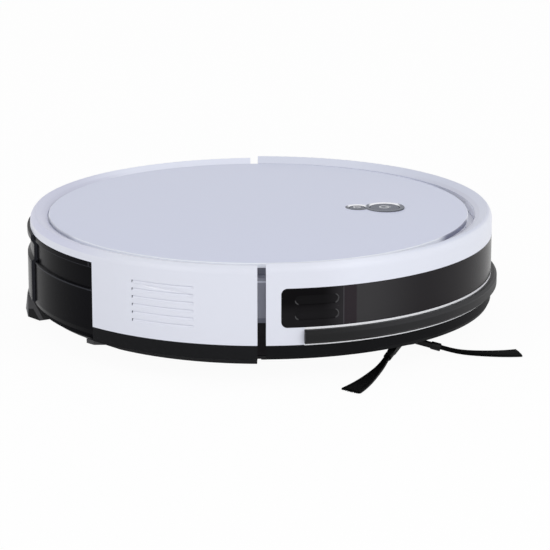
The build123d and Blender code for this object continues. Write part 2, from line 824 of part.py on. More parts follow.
with BuildPart() as bin_lid:
    post(0, 0, tub_top, bin_face_top, tub_radius)
    corner_box((-far, -tub_half, 0), (bin_front, tub_half, far), mode=Mode.INTERSECT)
    fillet(bin_lid.edges().filter_by(Axis.Z).group_by(Axis.X)[-1], 3 * bin_wall)
pieces["bin_lid"] = bin_lid.part

frame_half = filter_half - seat_gap
frame_low = filter_low + seat_gap
frame_top = filter_low + filter_height - seat_gap
with BuildPart() as filter_frame:
    corner_box((bin_front - filter_depth, -frame_half, frame_low), (bin_front, frame_half, frame_top))
    corner_box((bin_front - far, -frame_half + filter_frame_wall, frame_low + filter_frame_wall),
               (bin_front + over, frame_half - filter_frame_wall, frame_top - filter_frame_wall),
               mode=Mode.SUBTRACT)
pieces["filter_frame"] = filter_frame.part

# Pleats: one zigzag band, its folds running up and down
pleat_half = frame_half - filter_frame_wall - seat_gap
pleat_step = 2 * pleat_half / pleat_count
pleat_front = bin_front - pleat_inset
pleat_rear = bin_front - filter_depth + pleat_inset
near_side = [(pleat_front if i % 2 else pleat_rear + pleat_thickness * 2, -pleat_half + i * pleat_step)
             for i in range(pleat_count + 1)]
far_side = [(x - pleat_thickness * 2, y) for x, y in reversed(near_side)]
with BuildPart() as filter_pleats:
    with BuildSketch(Plane.XY.offset(frame_low + filter_frame_wall + seat_gap)):
        with BuildLine():
            Polyline(*near_side, *far_side, close=True)
        make_face()
    extrude(amount=frame_top - frame_low - 2 * filter_frame_wall - 2 * seat_gap)
pieces["filter_pleats"] = filter_pleats.part

runner_inner = tub_half + seat_gap
runner_front = bin_front - runner_spare
runner_low = bin_face_low - runner_height
with BuildPart() as bin_runners:
    for side in (-1, 1):
        corner_box((-far, side * runner_inner, runner_low),
                   (runner_front, side * bin_half, bin_face_low - seat_gap))
        corner_box((-sqrt(tub_radius**2 - bin_half**2), side * runner_inner, runner_low),
                   (runner_front, side * bin_half, bin_face_low + runner_height))
    post(0, 0, 0, far, body_radius - runner_inset, mode=Mode.INTERSECT)
pieces["bin_runners"] = bin_runners.part

# Skid under the bin's rear, with a tail that stands up behind the tucked lower edge, and two fins
skid_tail = -(body_radius + skid_proud)
skid_front = skid_tail + skid_length
skid_shoulder = bin_low - seat_gap
skid_top = bin_face_low + tuck_height - skid_lip
with BuildPart() as bin_skid:
    with BuildSketch(Plane.XZ.offset(-skid_half)):
        with BuildLine():
            Polyline((skid_front, skid_shoulder), (skid_front, skid_shoulder - skid_fin),
                     (skid_front - skid_ramp, skid_floor_gap + skid_lip),
                     (skid_tail + skid_heel, skid_floor_gap),
                     (skid_tail + skid_lip, skid_floor_gap + skid_heel / 3),
                     (skid_tail, skid_floor_gap + skid_heel),
                     (skid_tail + skid_lip, skid_top), (-body_radius, skid_top),
                     (-body_radius + tuck_depth, bin_face_low - seat_gap),
                     (-face_inner, bin_face_low - seat_gap), (-face_inner, skid_shoulder), close=True)
        make_face()
    extrude(amount=2 * skid_half)
    add(turned(face_profile(seat_gap)), mode=Mode.SUBTRACT)
pieces["bin_skid"] = bin_skid.part


# Bay liner that the bin slides into
side_low = bay_half + seat_gap
with BuildPart() as bin_bay:
    corner_box((bay_wall_rear, -side_low - bin_wall, pan_top),
               (bay_wall_front, side_low + bin_wall, deck_under))
    for side in (-1, 1):
        corner_box((bay_wall_rear - bay_side_length, side * side_low, pan_top),
                   (bay_wall_front, side * (side_low + bin_wall), deck_under))
    corner_box((-far, -mouth_half, mouth_low), (0, mouth_half, mouth_high), mode=Mode.SUBTRACT)
    corner_box((-far, -pleat_half, frame_low + filter_frame_wall),
               (0, pleat_half, frame_top - filter_frame_wall), mode=Mode.SUBTRACT)
    add(turned([(0, 0), (rear_inner - shell_wall, 0), (rear_inner - shell_wall, far), (0, far)]),
        mode=Mode.INTERSECT)
    # clear of the pan's sloped foot
    add(half_turned([(body_radius - rear_foot_inset - pan_wall, 0), (far, 0), (far, seam_height),
                     (body_radius - rear_foot_inset - pan_wall, seam_height)], 0, Keep.BOTTOM),
        mode=Mode.SUBTRACT)
pieces["bin_bay"] = bin_bay.part


# Brush housing: arched chamber over the main brush, with a throat to the bin
flange_x = housing_radius + housing_flange
flange_y = housing_half + housing_flange
with BuildPart() as brush_housing:
    corner_box((brush_x - housing_radius, -housing_half, ground_clearance),
               (brush_x + housing_radius, housing_half, housing_top))
    fillet(brush_housing.edges().filter_by(Axis.Y).group_by(Axis.Z)[-1], housing_wall * 4)
    corner_box((brush_x - flange_x, -flange_y, pan_top),
               (brush_x + flange_x, flange_y, pan_top + housing_wall))
    cross_pin(brush_x, brush_z, -chamber_half, chamber_half, chamber_radius, mode=Mode.SUBTRACT)
    corner_box((brush_x - chamber_radius, -chamber_half, 0),
               (brush_x + chamber_radius, chamber_half, brush_z), mode=Mode.SUBTRACT)
    corner_box((-far, -mouth_half, mouth_low), (brush_x, mouth_half, mouth_high),
               mode=Mode.SUBTRACT)
    cross_pin(brush_x, brush_z, -far, far, brush_axle_radius + running_gap, mode=Mode.SUBTRACT)
pieces["brush_housing"] = brush_housing.part

guard_x = housing_radius + guard_margin
guard_y = housing_half + guard_side_margin
with BuildPart() as brush_guard:
    corner_box((brush_x - guard_x, -guard_y, ground_clearance - guard_thickness),
               (brush_x + guard_x, guard_y, ground_clearance))
    chamfer(brush_guard.faces().sort_by(Axis.Z)[0].edges(), guard_thickness / 2)
    corner_box((brush_x - chamber_radius, -chamber_half, 0), (brush_x + chamber_radius, chamber_half, far),
               mode=Mode.SUBTRACT)
pieces["brush_guard"] = brush_guard.part

motor_left = housing_half + housing_flange + brush_motor_width
with BuildPart() as brush_motor:
    corner_box((brush_x - flange_x + brush_motor_gap, flange_y + brush_motor_gap / 2, pan_top),
               (well_rear - well_wall - brush_motor_gap, motor_left,
                brush_z + chamber_radius - housing_wall))
    fillet(brush_motor.edges().filter_by(Axis.Y), 2 * housing_wall)
    cross_pin(brush_x, brush_z, 0, housing_half + brush_motor_width / 2, brush_axle_radius + running_gap,
              mode=Mode.SUBTRACT)
pieces["brush_motor"] = brush_motor.part


# Main brush: core with end discs and axle, chevron rows of bristles, rubber blades between them
with BuildPart() as brush_core:
    cross_pin(brush_x, brush_z, -brush_half, brush_half, brush_core_radius)
    for side in (-1, 1):
        low, high = sorted((side * brush_half, side * disc_half))
        cross_pin(brush_x, brush_z, low, high, brush_core_radius)
        low, high = sorted((side * (disc_half - brush_disc_width), side * disc_half))
        cross_pin(brush_x, brush_z, low, high, brush_disc_radius)
    cross_pin(brush_x, brush_z, -housing_half, housing_half + brush_motor_width / 2 - brush_motor_gap,
              brush_axle_radius)
pieces["brush_core"] = brush_core.part


# Point at a radius and angle about the brush's axis
def around_brush(radius, angle, y, sideways=0.0):
    a = radians(angle)
    return Vector(brush_x + radius * cos(a) - sideways * sin(a), y,
                  brush_z + radius * sin(a) + sideways * cos(a))


def brush_angle(row, y):
    return 360 * row / brush_rows + brush_twist * abs(y) / brush_half


# Twisted bar along the brush, one ruled loft through turned rectangles
def brush_bar(row, inner, outer, width):
    rings = []
    for y in (-brush_half, -brush_half / 2, 0, brush_half / 2, brush_half):
        a = brush_angle(row, y)
        corners = [around_brush(r, a, y, w) for r, w in (
            (inner, -width / 2), (outer, -width / 2), (outer, width / 2), (inner, width / 2))]
        rings.append(Wire.make_polygon(corners, close=True))
    return Solid.make_loft(rings, ruled=True)


row_inner = brush_core_radius + row_gap
row_outer = row_inner + row_thickness
brush_strands = []
for row in range(brush_rows):
    for i in range(row_strands):
        y = brush_half * (2 * (i + 0.5) / row_strands - 1)
        a = brush_angle(row, y)
        rings = []
        for radius in (row_outer - row_thickness / 2, brush_radius):
            tips = [around_brush(radius, a, y + brush_strand * cos(t), brush_strand * sin(t))
                    for t in (radians(90), radians(210), radians(330))]
            rings.append(Wire.make_polygon(tips, close=True))
        brush_strands.append(Solid.make_loft(rings, ruled=True))
with BuildPart() as brush_bristles:
    add([brush_bar(row, row_inner, row_outer, row_width) for row in range(brush_rows)] + brush_strands)
pieces["brush_bristles"] = brush_bristles.part

with BuildPart() as brush_blades:
    add([brush_bar(row + 0.5, row_inner, brush_radius - blade_short, blade_thickness)
         for row in range(brush_rows)])
pieces["brush_blades"] = brush_blades.part


# Fan above the brush chamber: scroll with a duct to the louvres, motor, impeller
fan_low = housing_top
fan_high = deck_under - fan_play
duct_x = brush_x - duct_width + fan_wall
impeller_low = fan_low + fan_wall + fan_play
motor_low = fan_high - (fan_high - fan_low) / 3
with BuildPart() as fan_housing:
    post(brush_x, 0, fan_low, fan_high, fan_radius)
    corner_box((duct_x, -duct_end, fan_low), (duct_x + duct_width, 0, fan_high))
    corner_box((bay_wall_front, -pleat_half / 2, fan_low), (brush_x, pleat_half / 2, fan_high))
    post(brush_x, 0, fan_low + fan_wall, fan_high - fan_wall, fan_radius - fan_wall, mode=Mode.SUBTRACT)
    corner_box((duct_x + fan_wall, -far, fan_low + fan_wall),
               (duct_x + duct_width - fan_wall, 0, fan_high - fan_wall), mode=Mode.SUBTRACT)
    corner_box((-far, -pleat_half / 2 + fan_wall, fan_low + fan_wall),
               (brush_x, pleat_half / 2 - fan_wall, fan_high - fan_wall), mode=Mode.SUBTRACT)
pieces["fan_housing"] = fan_housing.part

with BuildPart() as fan_motor:
    post(brush_x, 0, motor_low, fan_high - fan_wall, fan_motor_radius)
    post(brush_x, 0, impeller_low, motor_low, fan_shaft_radius)
pieces["fan_motor"] = fan_motor.part

with BuildPart() as impeller:
    post(brush_x, 0, impeller_low, impeller_low + impeller_disc, impeller_radius)
    post(brush_x, 0, impeller_low, motor_low - fit_gap, 3 * fan_shaft_radius)
    with BuildSketch(Plane.XY.offset(impeller_low)):
        with Locations((brush_x, 0)):
            with PolarLocations(blade_ring, impeller_blades):
                Rectangle(blade_length, impeller_disc, rotation=blade_sweep)
    extrude(amount=motor_low - fit_gap - impeller_low)
    post(brush_x, 0, 0, far, fan_shaft_radius + running_gap, mode=Mode.SUBTRACT)
pieces["impeller"] = impeller.part


# Drive wheel on its swinging arm, in a well with the pivot pin (right side, then its twin)
wheel_inner = wheel_y - wheel_width / 2
arm_outer = wheel_inner - arm_gap
arm_inner = arm_outer - arm_thickness
pivot_z = wheel_radius + arm_pivot_rise
well_top = 2 * wheel_radius + wheel_gap

with BuildPart() as wheel_well:
    corner_box((well_rear - well_wall, -well_outer - well_wall, pan_top),
               (well_front + well_wall, -well_inner + well_wall, well_top + well_wall))
    fillet(wheel_well.edges().filter_by(Axis.Y).group_by(Axis.Z)[-1], 3 * well_wall)
    fillet(wheel_well.edges().filter_by(Axis.Z), 2 * well_wall)
    corner_box((well_rear, -well_outer, 0), (well_front, -well_inner, well_top), mode=Mode.SUBTRACT)
    cross_pin(arm_pivot_ahead, pivot_z, -well_outer - well_wall / 2, -well_inner + well_wall / 2,
              pivot_radius)

with BuildPart() as wheel_arm:
    with BuildSketch(Plane.XZ.offset(arm_inner)):
        with Locations((0, wheel_radius)):
            Circle(arm_axle_boss)
        with Locations((arm_pivot_ahead, pivot_z)):
            Circle(arm_hub_radius)
        make_hull()
    extrude(amount=arm_thickness)
    cross_pin(0, wheel_radius, -wheel_y - wheel_width / 2, -arm_outer, wheel_axle_radius)
    cross_pin(arm_pivot_ahead, pivot_z, -far, 0, pivot_radius + running_gap, mode=Mode.SUBTRACT)

with BuildPart() as wheel_rim:
    cross_pin(0, wheel_radius, -wheel_y - wheel_width / 2, -wheel_inner, rim_radius)
    fillet(wheel_rim.edges().filter_by(GeomType.CIRCLE), rim_round)
    with BuildSketch(Plane.XZ.offset(wheel_y + wheel_width / 2)):
        with Locations((0, wheel_radius)):
            with PolarLocations(spoke_ring, spoke_count):
                Circle(spoke_hole)
    extrude(amount=-wheel_width / 3, mode=Mode.SUBTRACT)
    cross_pin(0, wheel_radius, -far, 0, wheel_axle_radius + running_gap, mode=Mode.SUBTRACT)

with BuildPart() as tyre:
    cross_pin(0, wheel_radius, -wheel_y - wheel_width / 2, -wheel_inner, wheel_radius)
    cross_pin(0, wheel_radius, -far, 0, rim_radius + seat_gap, mode=Mode.SUBTRACT)
    with BuildSketch(Plane.XZ.offset(wheel_inner)):
        with Locations((0, wheel_radius)):
            with PolarLocations(wheel_radius, tread_count, start_angle=180 / tread_count - 90):
                Rectangle(2 * tread_depth, tread_width)
    extrude(amount=wheel_width, mode=Mode.SUBTRACT)

for label, piece in (("wheel_well", wheel_well), ("wheel_arm", wheel_arm), ("wheel_rim", wheel_rim),
                     ("tyre", tyre)):
    pieces[f"{label}_right"] = piece.part
    pieces[f"{label}_left"] = twin(piece.part)


# Caster: cup in the pan, swivelling fork, trailing wheel
fork_top = 2 * caster_wheel_radius + caster_roof_gap
cup_roof = fork_top + fit_gap
caster_wheel_x = caster_x - caster_trail
with BuildPart() as caster_socket:
    post(caster_x, 0, pan_top, cup_roof + caster_cup_wall, cup_radius + caster_cup_wall)
    post(caster_x, 0, pan_top, cup_roof, cup_radius, mode=Mode.SUBTRACT)
    post(caster_x, 0, cup_roof, fork_top + caster_stem + caster_cup_wall, 2 * caster_stem_radius)
    post(caster_x, 0, 0, fork_top + caster_stem + fit_gap, caster_stem_radius + running_gap,
         mode=Mode.SUBTRACT)
pieces["caster_socket"] = caster_socket.part

slot_half = caster_wheel_width / 2 + caster_slot_gap
with BuildPart() as caster_fork:
    post(caster_x, 0, caster_low, fork_top, caster_radius)
    fillet(caster_fork.faces().sort_by(Axis.Z)[0].edges(), caster_fork_round)
    corner_box((caster_x - far, -slot_half, 0),
               (caster_wheel_x + caster_wheel_radius + caster_play, slot_half,
                2 * caster_wheel_radius + caster_play), mode=Mode.SUBTRACT)
    post(caster_x, 0, fork_top, fork_top + caster_stem, caster_stem_radius)
    cross_pin(caster_wheel_x, caster_wheel_radius, -slot_half - caster_axle_radius,
              slot_half + caster_axle_radius, caster_axle_radius)
pieces["caster_fork"] = caster_fork.part

with BuildPart() as caster_wheel:
    cross_pin(caster_wheel_x, caster_wheel_radius, -caster_wheel_width / 2, caster_wheel_width / 2,
              caster_wheel_radius)
    fillet(caster_wheel.edges().filter_by(GeomType.CIRCLE), caster_tread_round)
    cross_pin(caster_wheel_x, caster_wheel_radius, -far, far, caster_axle_radius + running_gap,
              mode=Mode.SUBTRACT)
pieces["caster_wheel"] = caster_wheel.part


# Side brush: sunk hub with three arms that slope down to collars, tufts, and the motor above
# (right side, then its twin)
arm_angles = [arm_rest_angle - 120 * i for i in range(3)]
arm_slope = atan2(arm_root_z - arm_end_z, arm_reach)
arm_length = arm_reach / cos(arm_slope)
collar_start = arm_length - collar_length


# Places in a frame that runs down along each arm, at a distance from the hub's axis
def along_arms(distance):
    hub = Location((hub_x, -hub_y, arm_root_z))
    lean = Rotation(0, degrees(arm_slope), 0) * Location((distance, 0, 0))
    return Locations(*(hub * Rotation(0, 0, angle) * lean for angle in arm_angles))


with BuildPart() as side_hub:
    post(hub_x, -hub_y, side_hub_low, side_hub_low + side_hub_height, side_hub_radius)
    fillet(side_hub.faces().sort_by(Axis.Z)[0].edges(), side_hub_round)
    post(hub_x, -hub_y, side_hub_low + side_hub_height, side_stem_top, side_stem_radius)
    with along_arms((side_hub_radius / 2 + collar_start) / 2):
        Box(collar_start - side_hub_radius / 2, arm_width, arm_depth)
    with along_arms(collar_start + collar_length / 2):
        Cylinder(collar_radius, collar_length, rotation=(0, 90, 0))
    with along_arms(arm_length):
        Cylinder(collar_radius - collar_wall, collar_length, rotation=(0, 90, 0), mode=Mode.SUBTRACT)


# Point on a strand: from its root in the collar, down along the arm's line, then out along the floor
def tuft_point(angle, reach, bend, across, up, t):
    start = arm_reach - plug_length * cos(arm_slope)
    run = (reach - start) * t
    turn = radians(angle + bend * (1 - (1 - t) ** 2))
    half = tuft_root_half + (tuft_tip_half - tuft_root_half) * t**tuft_spread
    rise = tuft_root_rise + (tuft_tip_rise - tuft_root_rise) * t
    lowest = tuft_floor_gap + rise
    drop = arm_end_z + plug_length * sin(arm_slope) - run * tan(arm_slope) - lowest
    height = lowest + (drop + sqrt(drop**2 + tuft_landing**2)) / 2
    lift = up * rise * sqrt(1 - tuft_round * across**2)
    out = Vector(cos(turn), sin(turn), 0)
    aside = Vector(-sin(turn), cos(turn), 0)
    return Vector(hub_x, -hub_y, height + lift) + out * (start + run) + aside * (across * half)


def side_strand(angle, reach, bend, across, up):
    aside = Vector(-sin(radians(angle)), cos(radians(angle)), 0) * tuft_strand
    lift = Vector(0, 0, tuft_strand)
    rings = []
    for t in tuft_stations:
        centre = tuft_point(angle, reach, bend, across, up, t)
        corners = [centre - aside - lift / 2, centre + aside - lift / 2, centre + lift]
        rings.append(Wire.make_polygon(corners, close=True))
    return Solid.make_loft(rings, ruled=True)


side_strands = []
for angle, reach, bend in zip(arm_angles, tuft_reaches, tuft_bends):
    for column in range(tuft_columns):
        for layer in range(tuft_layers):
            across = 2 * column / (tuft_columns - 1) - 1
            up = 2 * layer / (tuft_layers - 1) - 1
            side_strands.append(side_strand(angle, reach, bend, across, up))
with BuildPart() as tuft_plugs:
    with along_arms(arm_length - plug_length / 2):
        Cylinder(collar_radius - collar_wall - seat_gap, plug_length, rotation=(0, 90, 0))
with BuildPart() as side_tufts:
    add(tuft_plugs.part.solids() + side_strands)

motor_out = core_inner - side_motor_gap
motor_middle = motor_out - side_motor_length / 2
with BuildPart() as side_motor:
    with Locations(Rotation(0, 0, -side_brush_angle)):
        with Locations((motor_middle, 0, side_motor_base + side_motor_height / 2)):
            Box(side_motor_length, side_motor_width, side_motor_height)
    fillet(side_motor.edges().filter_by(Axis.Z), side_motor_round)
    post(hub_x, -hub_y, 0, side_stem_top + fit_gap, side_stem_radius + running_gap, mode=Mode.SUBTRACT)

for label, piece in (("side_hub", side_hub), ("side_tufts", side_tufts), ("side_motor", side_motor)):
    pieces[f"{label}_right"] = piece.part
    pieces[f"{label}_left"] = twin(piece.part)


# Battery in its bay, closed by a screwed cover
with BuildPart() as battery_pack:
    with Locations((battery_x, 0, battery_low + battery_height / 2)):
        Box(battery_length, battery_width, battery_height)
    fillet(battery_pack.edges().filter_by(Axis.X), battery_height / 4)
pieces["battery_pack"] = battery_pack.part

cover_screw_x = battery_bay_x - cover_lip
with BuildPart() as battery_cover:
    corner_box((battery_x - battery_bay_x + fit_gap, -battery_bay_y + fit_gap, ground_clearance),
               (battery_x + battery_bay_x - fit_gap, battery_bay_y - fit_gap,
                battery_low - battery_play / 2))
    fillet(battery_cover.edges().filter_by(Axis.Z), cover_round)
    for side in (-1, 1):
        post(battery_x + cover_screw_x, side * battery_width / 4, 0, ground_clearance + screw_head,
             screw_head_radius + seat_gap, mode=Mode.SUBTRACT)
pieces["battery_cover"] = battery_cover.part

with BuildPart() as chassis_screws:
    for x, y in boss_points:
        for side in (-1, 1):
            post(x, side * y, ground_clearance, ground_clearance + screw_head, screw_head_radius)
            post(x, side * y, ground_clearance, ground_clearance + screw_length, screw_shank_radius)
    for side in (-1, 1):
        post(battery_x + cover_screw_x, side * battery_width / 4, ground_clearance,
             ground_clearance + screw_head, screw_head_radius)
pieces["chassis_screws"] = chassis_screws.part

with BuildPart() as main_board:
    with Locations((board_x, 0, board_height + board_thickness / 2)):
        Box(board_length, board_width, board_thickness)
    for x, y, size in chips:
        with Locations((board_x + x, y, board_height + board_thickness + chip_height / 2)):
            Box(size, size, chip_height)
pieces["main_board"] = main_board.part

with BuildPart() as charge_contacts:
    for side in (-1, 1):
        with Locations((contact_x, side * contact_y, (ground_clearance - contact_proud + pan_top) / 2)):
            Box(contact_length - 2 * seat_gap, contact_width - 2 * seat_gap,
                pan_top - ground_clearance + contact_proud)
pieces["charge_contacts"] = charge_contacts.part

with BuildPart() as cliff_windows:
    for x, y in ((cliff_x, -cliff_y), (cliff_x, cliff_y), (cliff_front_x, 0)):
        with Locations((x, y, (ground_clearance + pan_top) / 2)):
            Box(cliff_length - 2 * seat_gap, cliff_width - 2 * seat_gap, pan_wall)
pieces["cliff_windows"] = cliff_windows.part


os.makedirs("parts", exist_ok=True)
for label, piece in pieces.items():
    piece.label = label
    export_step(piece, f"parts/{label}.step")
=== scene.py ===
import bpy
import bmesh
from math import cos, radians, sin, tau
from mathutils import Matrix, Vector


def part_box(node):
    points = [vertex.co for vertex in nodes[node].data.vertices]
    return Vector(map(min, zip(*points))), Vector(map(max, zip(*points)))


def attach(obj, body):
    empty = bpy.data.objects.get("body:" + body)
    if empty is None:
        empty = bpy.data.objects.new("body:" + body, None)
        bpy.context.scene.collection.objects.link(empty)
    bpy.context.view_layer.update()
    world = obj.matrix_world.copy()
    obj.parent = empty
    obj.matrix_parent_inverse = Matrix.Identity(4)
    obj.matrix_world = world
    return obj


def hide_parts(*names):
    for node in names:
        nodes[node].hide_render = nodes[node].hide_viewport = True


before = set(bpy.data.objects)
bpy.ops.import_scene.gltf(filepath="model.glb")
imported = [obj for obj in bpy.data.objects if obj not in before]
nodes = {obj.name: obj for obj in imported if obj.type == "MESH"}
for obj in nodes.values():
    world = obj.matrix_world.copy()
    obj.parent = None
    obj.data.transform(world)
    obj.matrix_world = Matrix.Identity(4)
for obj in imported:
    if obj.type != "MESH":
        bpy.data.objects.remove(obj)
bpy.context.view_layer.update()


# a socket that can be used in sums: numbers through Math, vectors through Vector Math
class Link:
    def __init__(self, net, socket):
        self.net = net
        self.socket = socket

    def pair(self, operation, first, second):
        vectors = any(isinstance(v, Link) and v.socket.type == "VECTOR" for v in (first, second))
        kind = "ShaderNodeVectorMath" if vectors else "ShaderNodeMath"
        return self.net.add(kind, {"operation": operation}, {0: first, 1: second})

    def __add__(self, other):
        return self.pair("ADD", self, other)

    def __radd__(self, other):
        return self.pair("ADD", other, self)

    def __sub__(self, other):
        return self.pair("SUBTRACT", self, other)

    def __rsub__(self, other):
        return self.pair("SUBTRACT", other, self)

    def __mul__(self, other):
        return self.pair("MULTIPLY", self, other)

    def __rmul__(self, other):
        return self.pair("MULTIPLY", other, self)

    def __truediv__(self, other):
        return self.pair("DIVIDE", self, other)

    def __pow__(self, other):
        return self.pair("POWER", self, other)

    def atLeast(self, other):
        return self.pair("MAXIMUM", self, other)

    def do(self, operation):
        return self.net.add("ShaderNodeMath", {"operation": operation}, {0: self})


# a node tree, for a material or for geometry
class Net:
    def __init__(self, tree):
        self.tree = tree

    def add(self, kind, settings=None, sockets=None, out=0):
        node = self.tree.nodes.new(kind)
        for key, value in (settings or {}).items():
            if key == "stops":
                for element, (place, grey) in zip(node.color_ramp.elements, value):
                    element.position = place
                    element.color = (grey, grey, grey, 1)
            else:
                setattr(node, key, value)
        for key, value in (sockets or {}).items():
            if isinstance(value, Link):
                self.tree.links.new(value.socket, node.inputs[key])
            else:
                node.inputs[key].default_value = value
        return Link(self, node.outputs[out]) if node.outputs else node

    def coords(self):
        return self.add("ShaderNodeTexCoord", out="Object")

    def noise(self, vector, scale, detail):
        return self.add("ShaderNodeTexNoise", {}, {"Vector": vector, "Scale": scale, "Detail": detail}, "Fac")

    def mix(self, factor, first, second):
        return self.add("ShaderNodeMix", {"data_type": "RGBA"}, {0: factor, 6: first, 7: second}, 2)


# the emptied node tree of a material or a world
def bareNet(owner):
    owner.use_nodes = True
    owner.node_tree.nodes.clear()
    return Net(owner.node_tree)


def rgba(color, shade=1.0):
    return tuple(min(1.0, c * shade) for c in color) + (1.0,)


# one material: a Principled shader whose sockets take numbers or links
def finishOf(name, sockets):
    material = bpy.data.materials.new(name)
    net = bareNet(material)
    shader = net.add("ShaderNodeBsdfPrincipled", {}, sockets(net))
    net.add("ShaderNodeOutputMaterial", {}, {"Surface": shader})
    return material


# moulded plastic or rubber: fine grain from the mould, slow clouding of colour and gloss; a look may name
# further tones, many of them painted light and shade, and a dull area, each with its place, a function that
# gives 1 where it lies
mould = {
    "cloudScale": 18.0, "cloudDetail": 3.0, "clouding": 0.03, "glossSpread": 0.06,
    "grainScale": 1400.0, "grainDetail": 2.0, "grainStrength": 0.15, "grainDepth": 0.00006,
    "grainGloss": 0.04, "metallic": 0.0, "coat": 0.0, "coatRough": 0.05, "specular": 0.5,
    "tones": [], "dullPlace": None, "dullRough": 0.9,
}


def moulded(name, ownLook):
    look = mould | ownLook

    def sockets(net):
        place = net.coords()
        cloud = net.noise(place, look["cloudScale"], look["cloudDetail"])
        grain = net.noise(place, look["grainScale"], look["grainDetail"])
        bump = net.add("ShaderNodeBump", {}, {"Strength": look["grainStrength"],
                                              "Distance": look["grainDepth"], "Height": grain})
        tone = net.mix(cloud, rgba(look["color"], 1 - look["clouding"]), rgba(look["color"]))
        for color, where in look["tones"]:
            tone = net.mix(where(net, place), tone, rgba(color))
        rough = look["rough"] + (cloud - 0.5) * look["glossSpread"] + (grain - 0.5) * look["grainGloss"]
        if look["dullPlace"]:
            rough = rough + look["dullPlace"](net, place) * (look["dullRough"] - look["rough"])
        return {
            "Base Color": tone,
            "Roughness": rough,
            "Normal": bump,
            "Metallic": look["metallic"],
            "Coat Weight": look["coat"],
            "Coat Roughness": look["coatRough"],
            "Specular IOR Level": look["specular"],
        }
    return finishOf(name, sockets)


# metal turned on a lathe: rings round an upright axis
lathe = {"ringDetail": 3.0, "ringDepth": 0.00004, "ringShade": 0.86, "glossSpread": 0.14, "tones": []}


def turnedMetal(name, ownLook):
    look = lathe | ownLook

    def sockets(net):
        flat = (net.coords() - look["centre"]) * (1, 1, 0)
        reach = net.add("ShaderNodeVectorMath", {"operation": "LENGTH"}, {0: flat}, "Value")
        rings = net.add("ShaderNodeTexNoise", {"noise_dimensions": "1D"},
                        {"W": reach, "Scale": look["ringScale"], "Detail": look["ringDetail"]}, "Fac")
        bump = net.add("ShaderNodeBump", {}, {"Strength": look["ringStrength"],
                                              "Distance": look["ringDepth"], "Height": rings})
        tone = net.mix(rings, rgba(look["color"], look["ringShade"]), rgba(look["color"]))
        for color, where in look["tones"]:
            tone = net.mix(where(net, net.coords()), tone, rgba(color))
        return {
            "Base Color": tone,
            "Roughness": look["rough"] + (rings - 0.5) * look["glossSpread"],
            "Normal": bump,
            "Metallic": 1.0,
            "Specular Tint": rgba(look["edgeTint"]),
        }
    return finishOf(name, sockets)


# 1 where a value is above a border, with a soft step of a given width
def above(net, value, border, width):
    return net.add("ShaderNodeMapRange", {"interpolation_type": "SMOOTHSTEP"},
                   {"Value": value, "From Min": border - width / 2, "From Max": border + width / 2})


def within(net, value, low, high, width):
    return above(net, value, low, width) * (1 - above(net, value, high, width))


def either(first, *others):
    for other in others:
        first = 1 - (1 - first) * (1 - other)
    return first


def axes(net, place):
    return [net.add("ShaderNodeSeparateXYZ", {}, {"Vector": place}, axis) for axis in "XYZ"]


def heightOf(net, place):
    return axes(net, place)[2]


def reachOf(x, y):
    return (x * x + y * y) ** 0.5


# angle from straight ahead, the same on both sides
def bearingOf(net, x, y):
    return net.add("ShaderNodeMath", {"operation": "ARCTAN2"}, {0: y.do("ABSOLUTE"), 1: x})


# 1 where the place is nearer to the body's axis than a border
def nearer(net, place, border, width):
    x, y, _ = axes(net, place)
    return 1 - above(net, reachOf(x, y), border, width)


# 1 where the bearing is past a border, in degrees
def beyond(net, place, border, width):
    x, y, _ = axes(net, place)
    return above(net, bearingOf(net, x, y), radians(border), radians(width))


def between(net, place, low, high, width):
    return beyond(net, place, low, width) * (1 - beyond(net, place, high, width))


# Places of the tones. Each border is a pair, where it lies and the width of its soft step, or for a band
# the lower border, the upper one and the width. Heights and radii are in metres, bearings in degrees.

# painted shade on the inside of the shell, behind the bumper's ends and in the bin's bay: below the ledge,
# and the step above it; the ledge itself and the front are left out
shellInside = {"radius": (0.1516, 0.0005), "ledge": (0.0630, 0.0641, 0.0005), "deck": (0.0708, 0.0005),
               "bearing": (85.5, 2.0)}


def paintedShadeBehindBumper(net, place):
    s = shellInside
    z = heightOf(net, place)
    inside = nearer(net, place, *s["radius"])
    aside = beyond(net, place, *s["bearing"])
    return inside * (1 - within(net, z, *s["ledge"])) * (1 - above(net, z, *s["deck"])) * aside


# painted light in the channel in front of the lid, between the shell's step and the bumper's rim
channel = {"heights": (0.0655, 0.0733, 0.0003), "radius": (0.1459, 0.0003), "bearing": (84.0, 4.0)}


def paintedLightInChannel(net, place):
    c = channel
    ahead = 1 - beyond(net, place, *c["bearing"])
    return ahead * nearer(net, place, *c["radius"]) * within(net, heightOf(net, place), *c["heights"])


# painted light and shade on the rims seen from above: painted shade on the rear end, the front end and the
# inner slope of each, painted light on the far half
rims = {
    "low": (0.0716, 0.0004), "rear": (0.112, 0.05), "rearSlope": (0.1474, 0.0015),
    "frontLow": (0.0733, 0.0004), "front": (0.095, 0.07), "brow": (0.1533, 0.0015),
    "slopeLow": (0.0731, 0.0004), "slopeFront": (0.118, 0.05), "frontSlope": (0.1466, 0.0010),
    "far": (0.045, 0.06),
}


def rimRear(net, place):
    x, _, z = axes(net, place)
    return above(net, z, *rims["low"]) * above(net, 0 - x, *rims["rear"])


def rimRearSlope(net, place):
    return rimRear(net, place) * nearer(net, place, *rims["rearSlope"])


def rimFront(net, place):
    x, _, z = axes(net, place)
    ahead = above(net, z, *rims["frontLow"]) * above(net, x, *rims["front"])
    return ahead * nearer(net, place, *rims["brow"])


def rimFrontSlope(net, place):
    x, _, z = axes(net, place)
    ahead = above(net, z, *rims["slopeLow"]) * above(net, x, *rims["slopeFront"])
    return ahead * nearer(net, place, *rims["frontSlope"])


def rimFar(net, place):
    _, y, z = axes(net, place)
    return above(net, z, *rims["low"]) * above(net, y, *rims["far"])
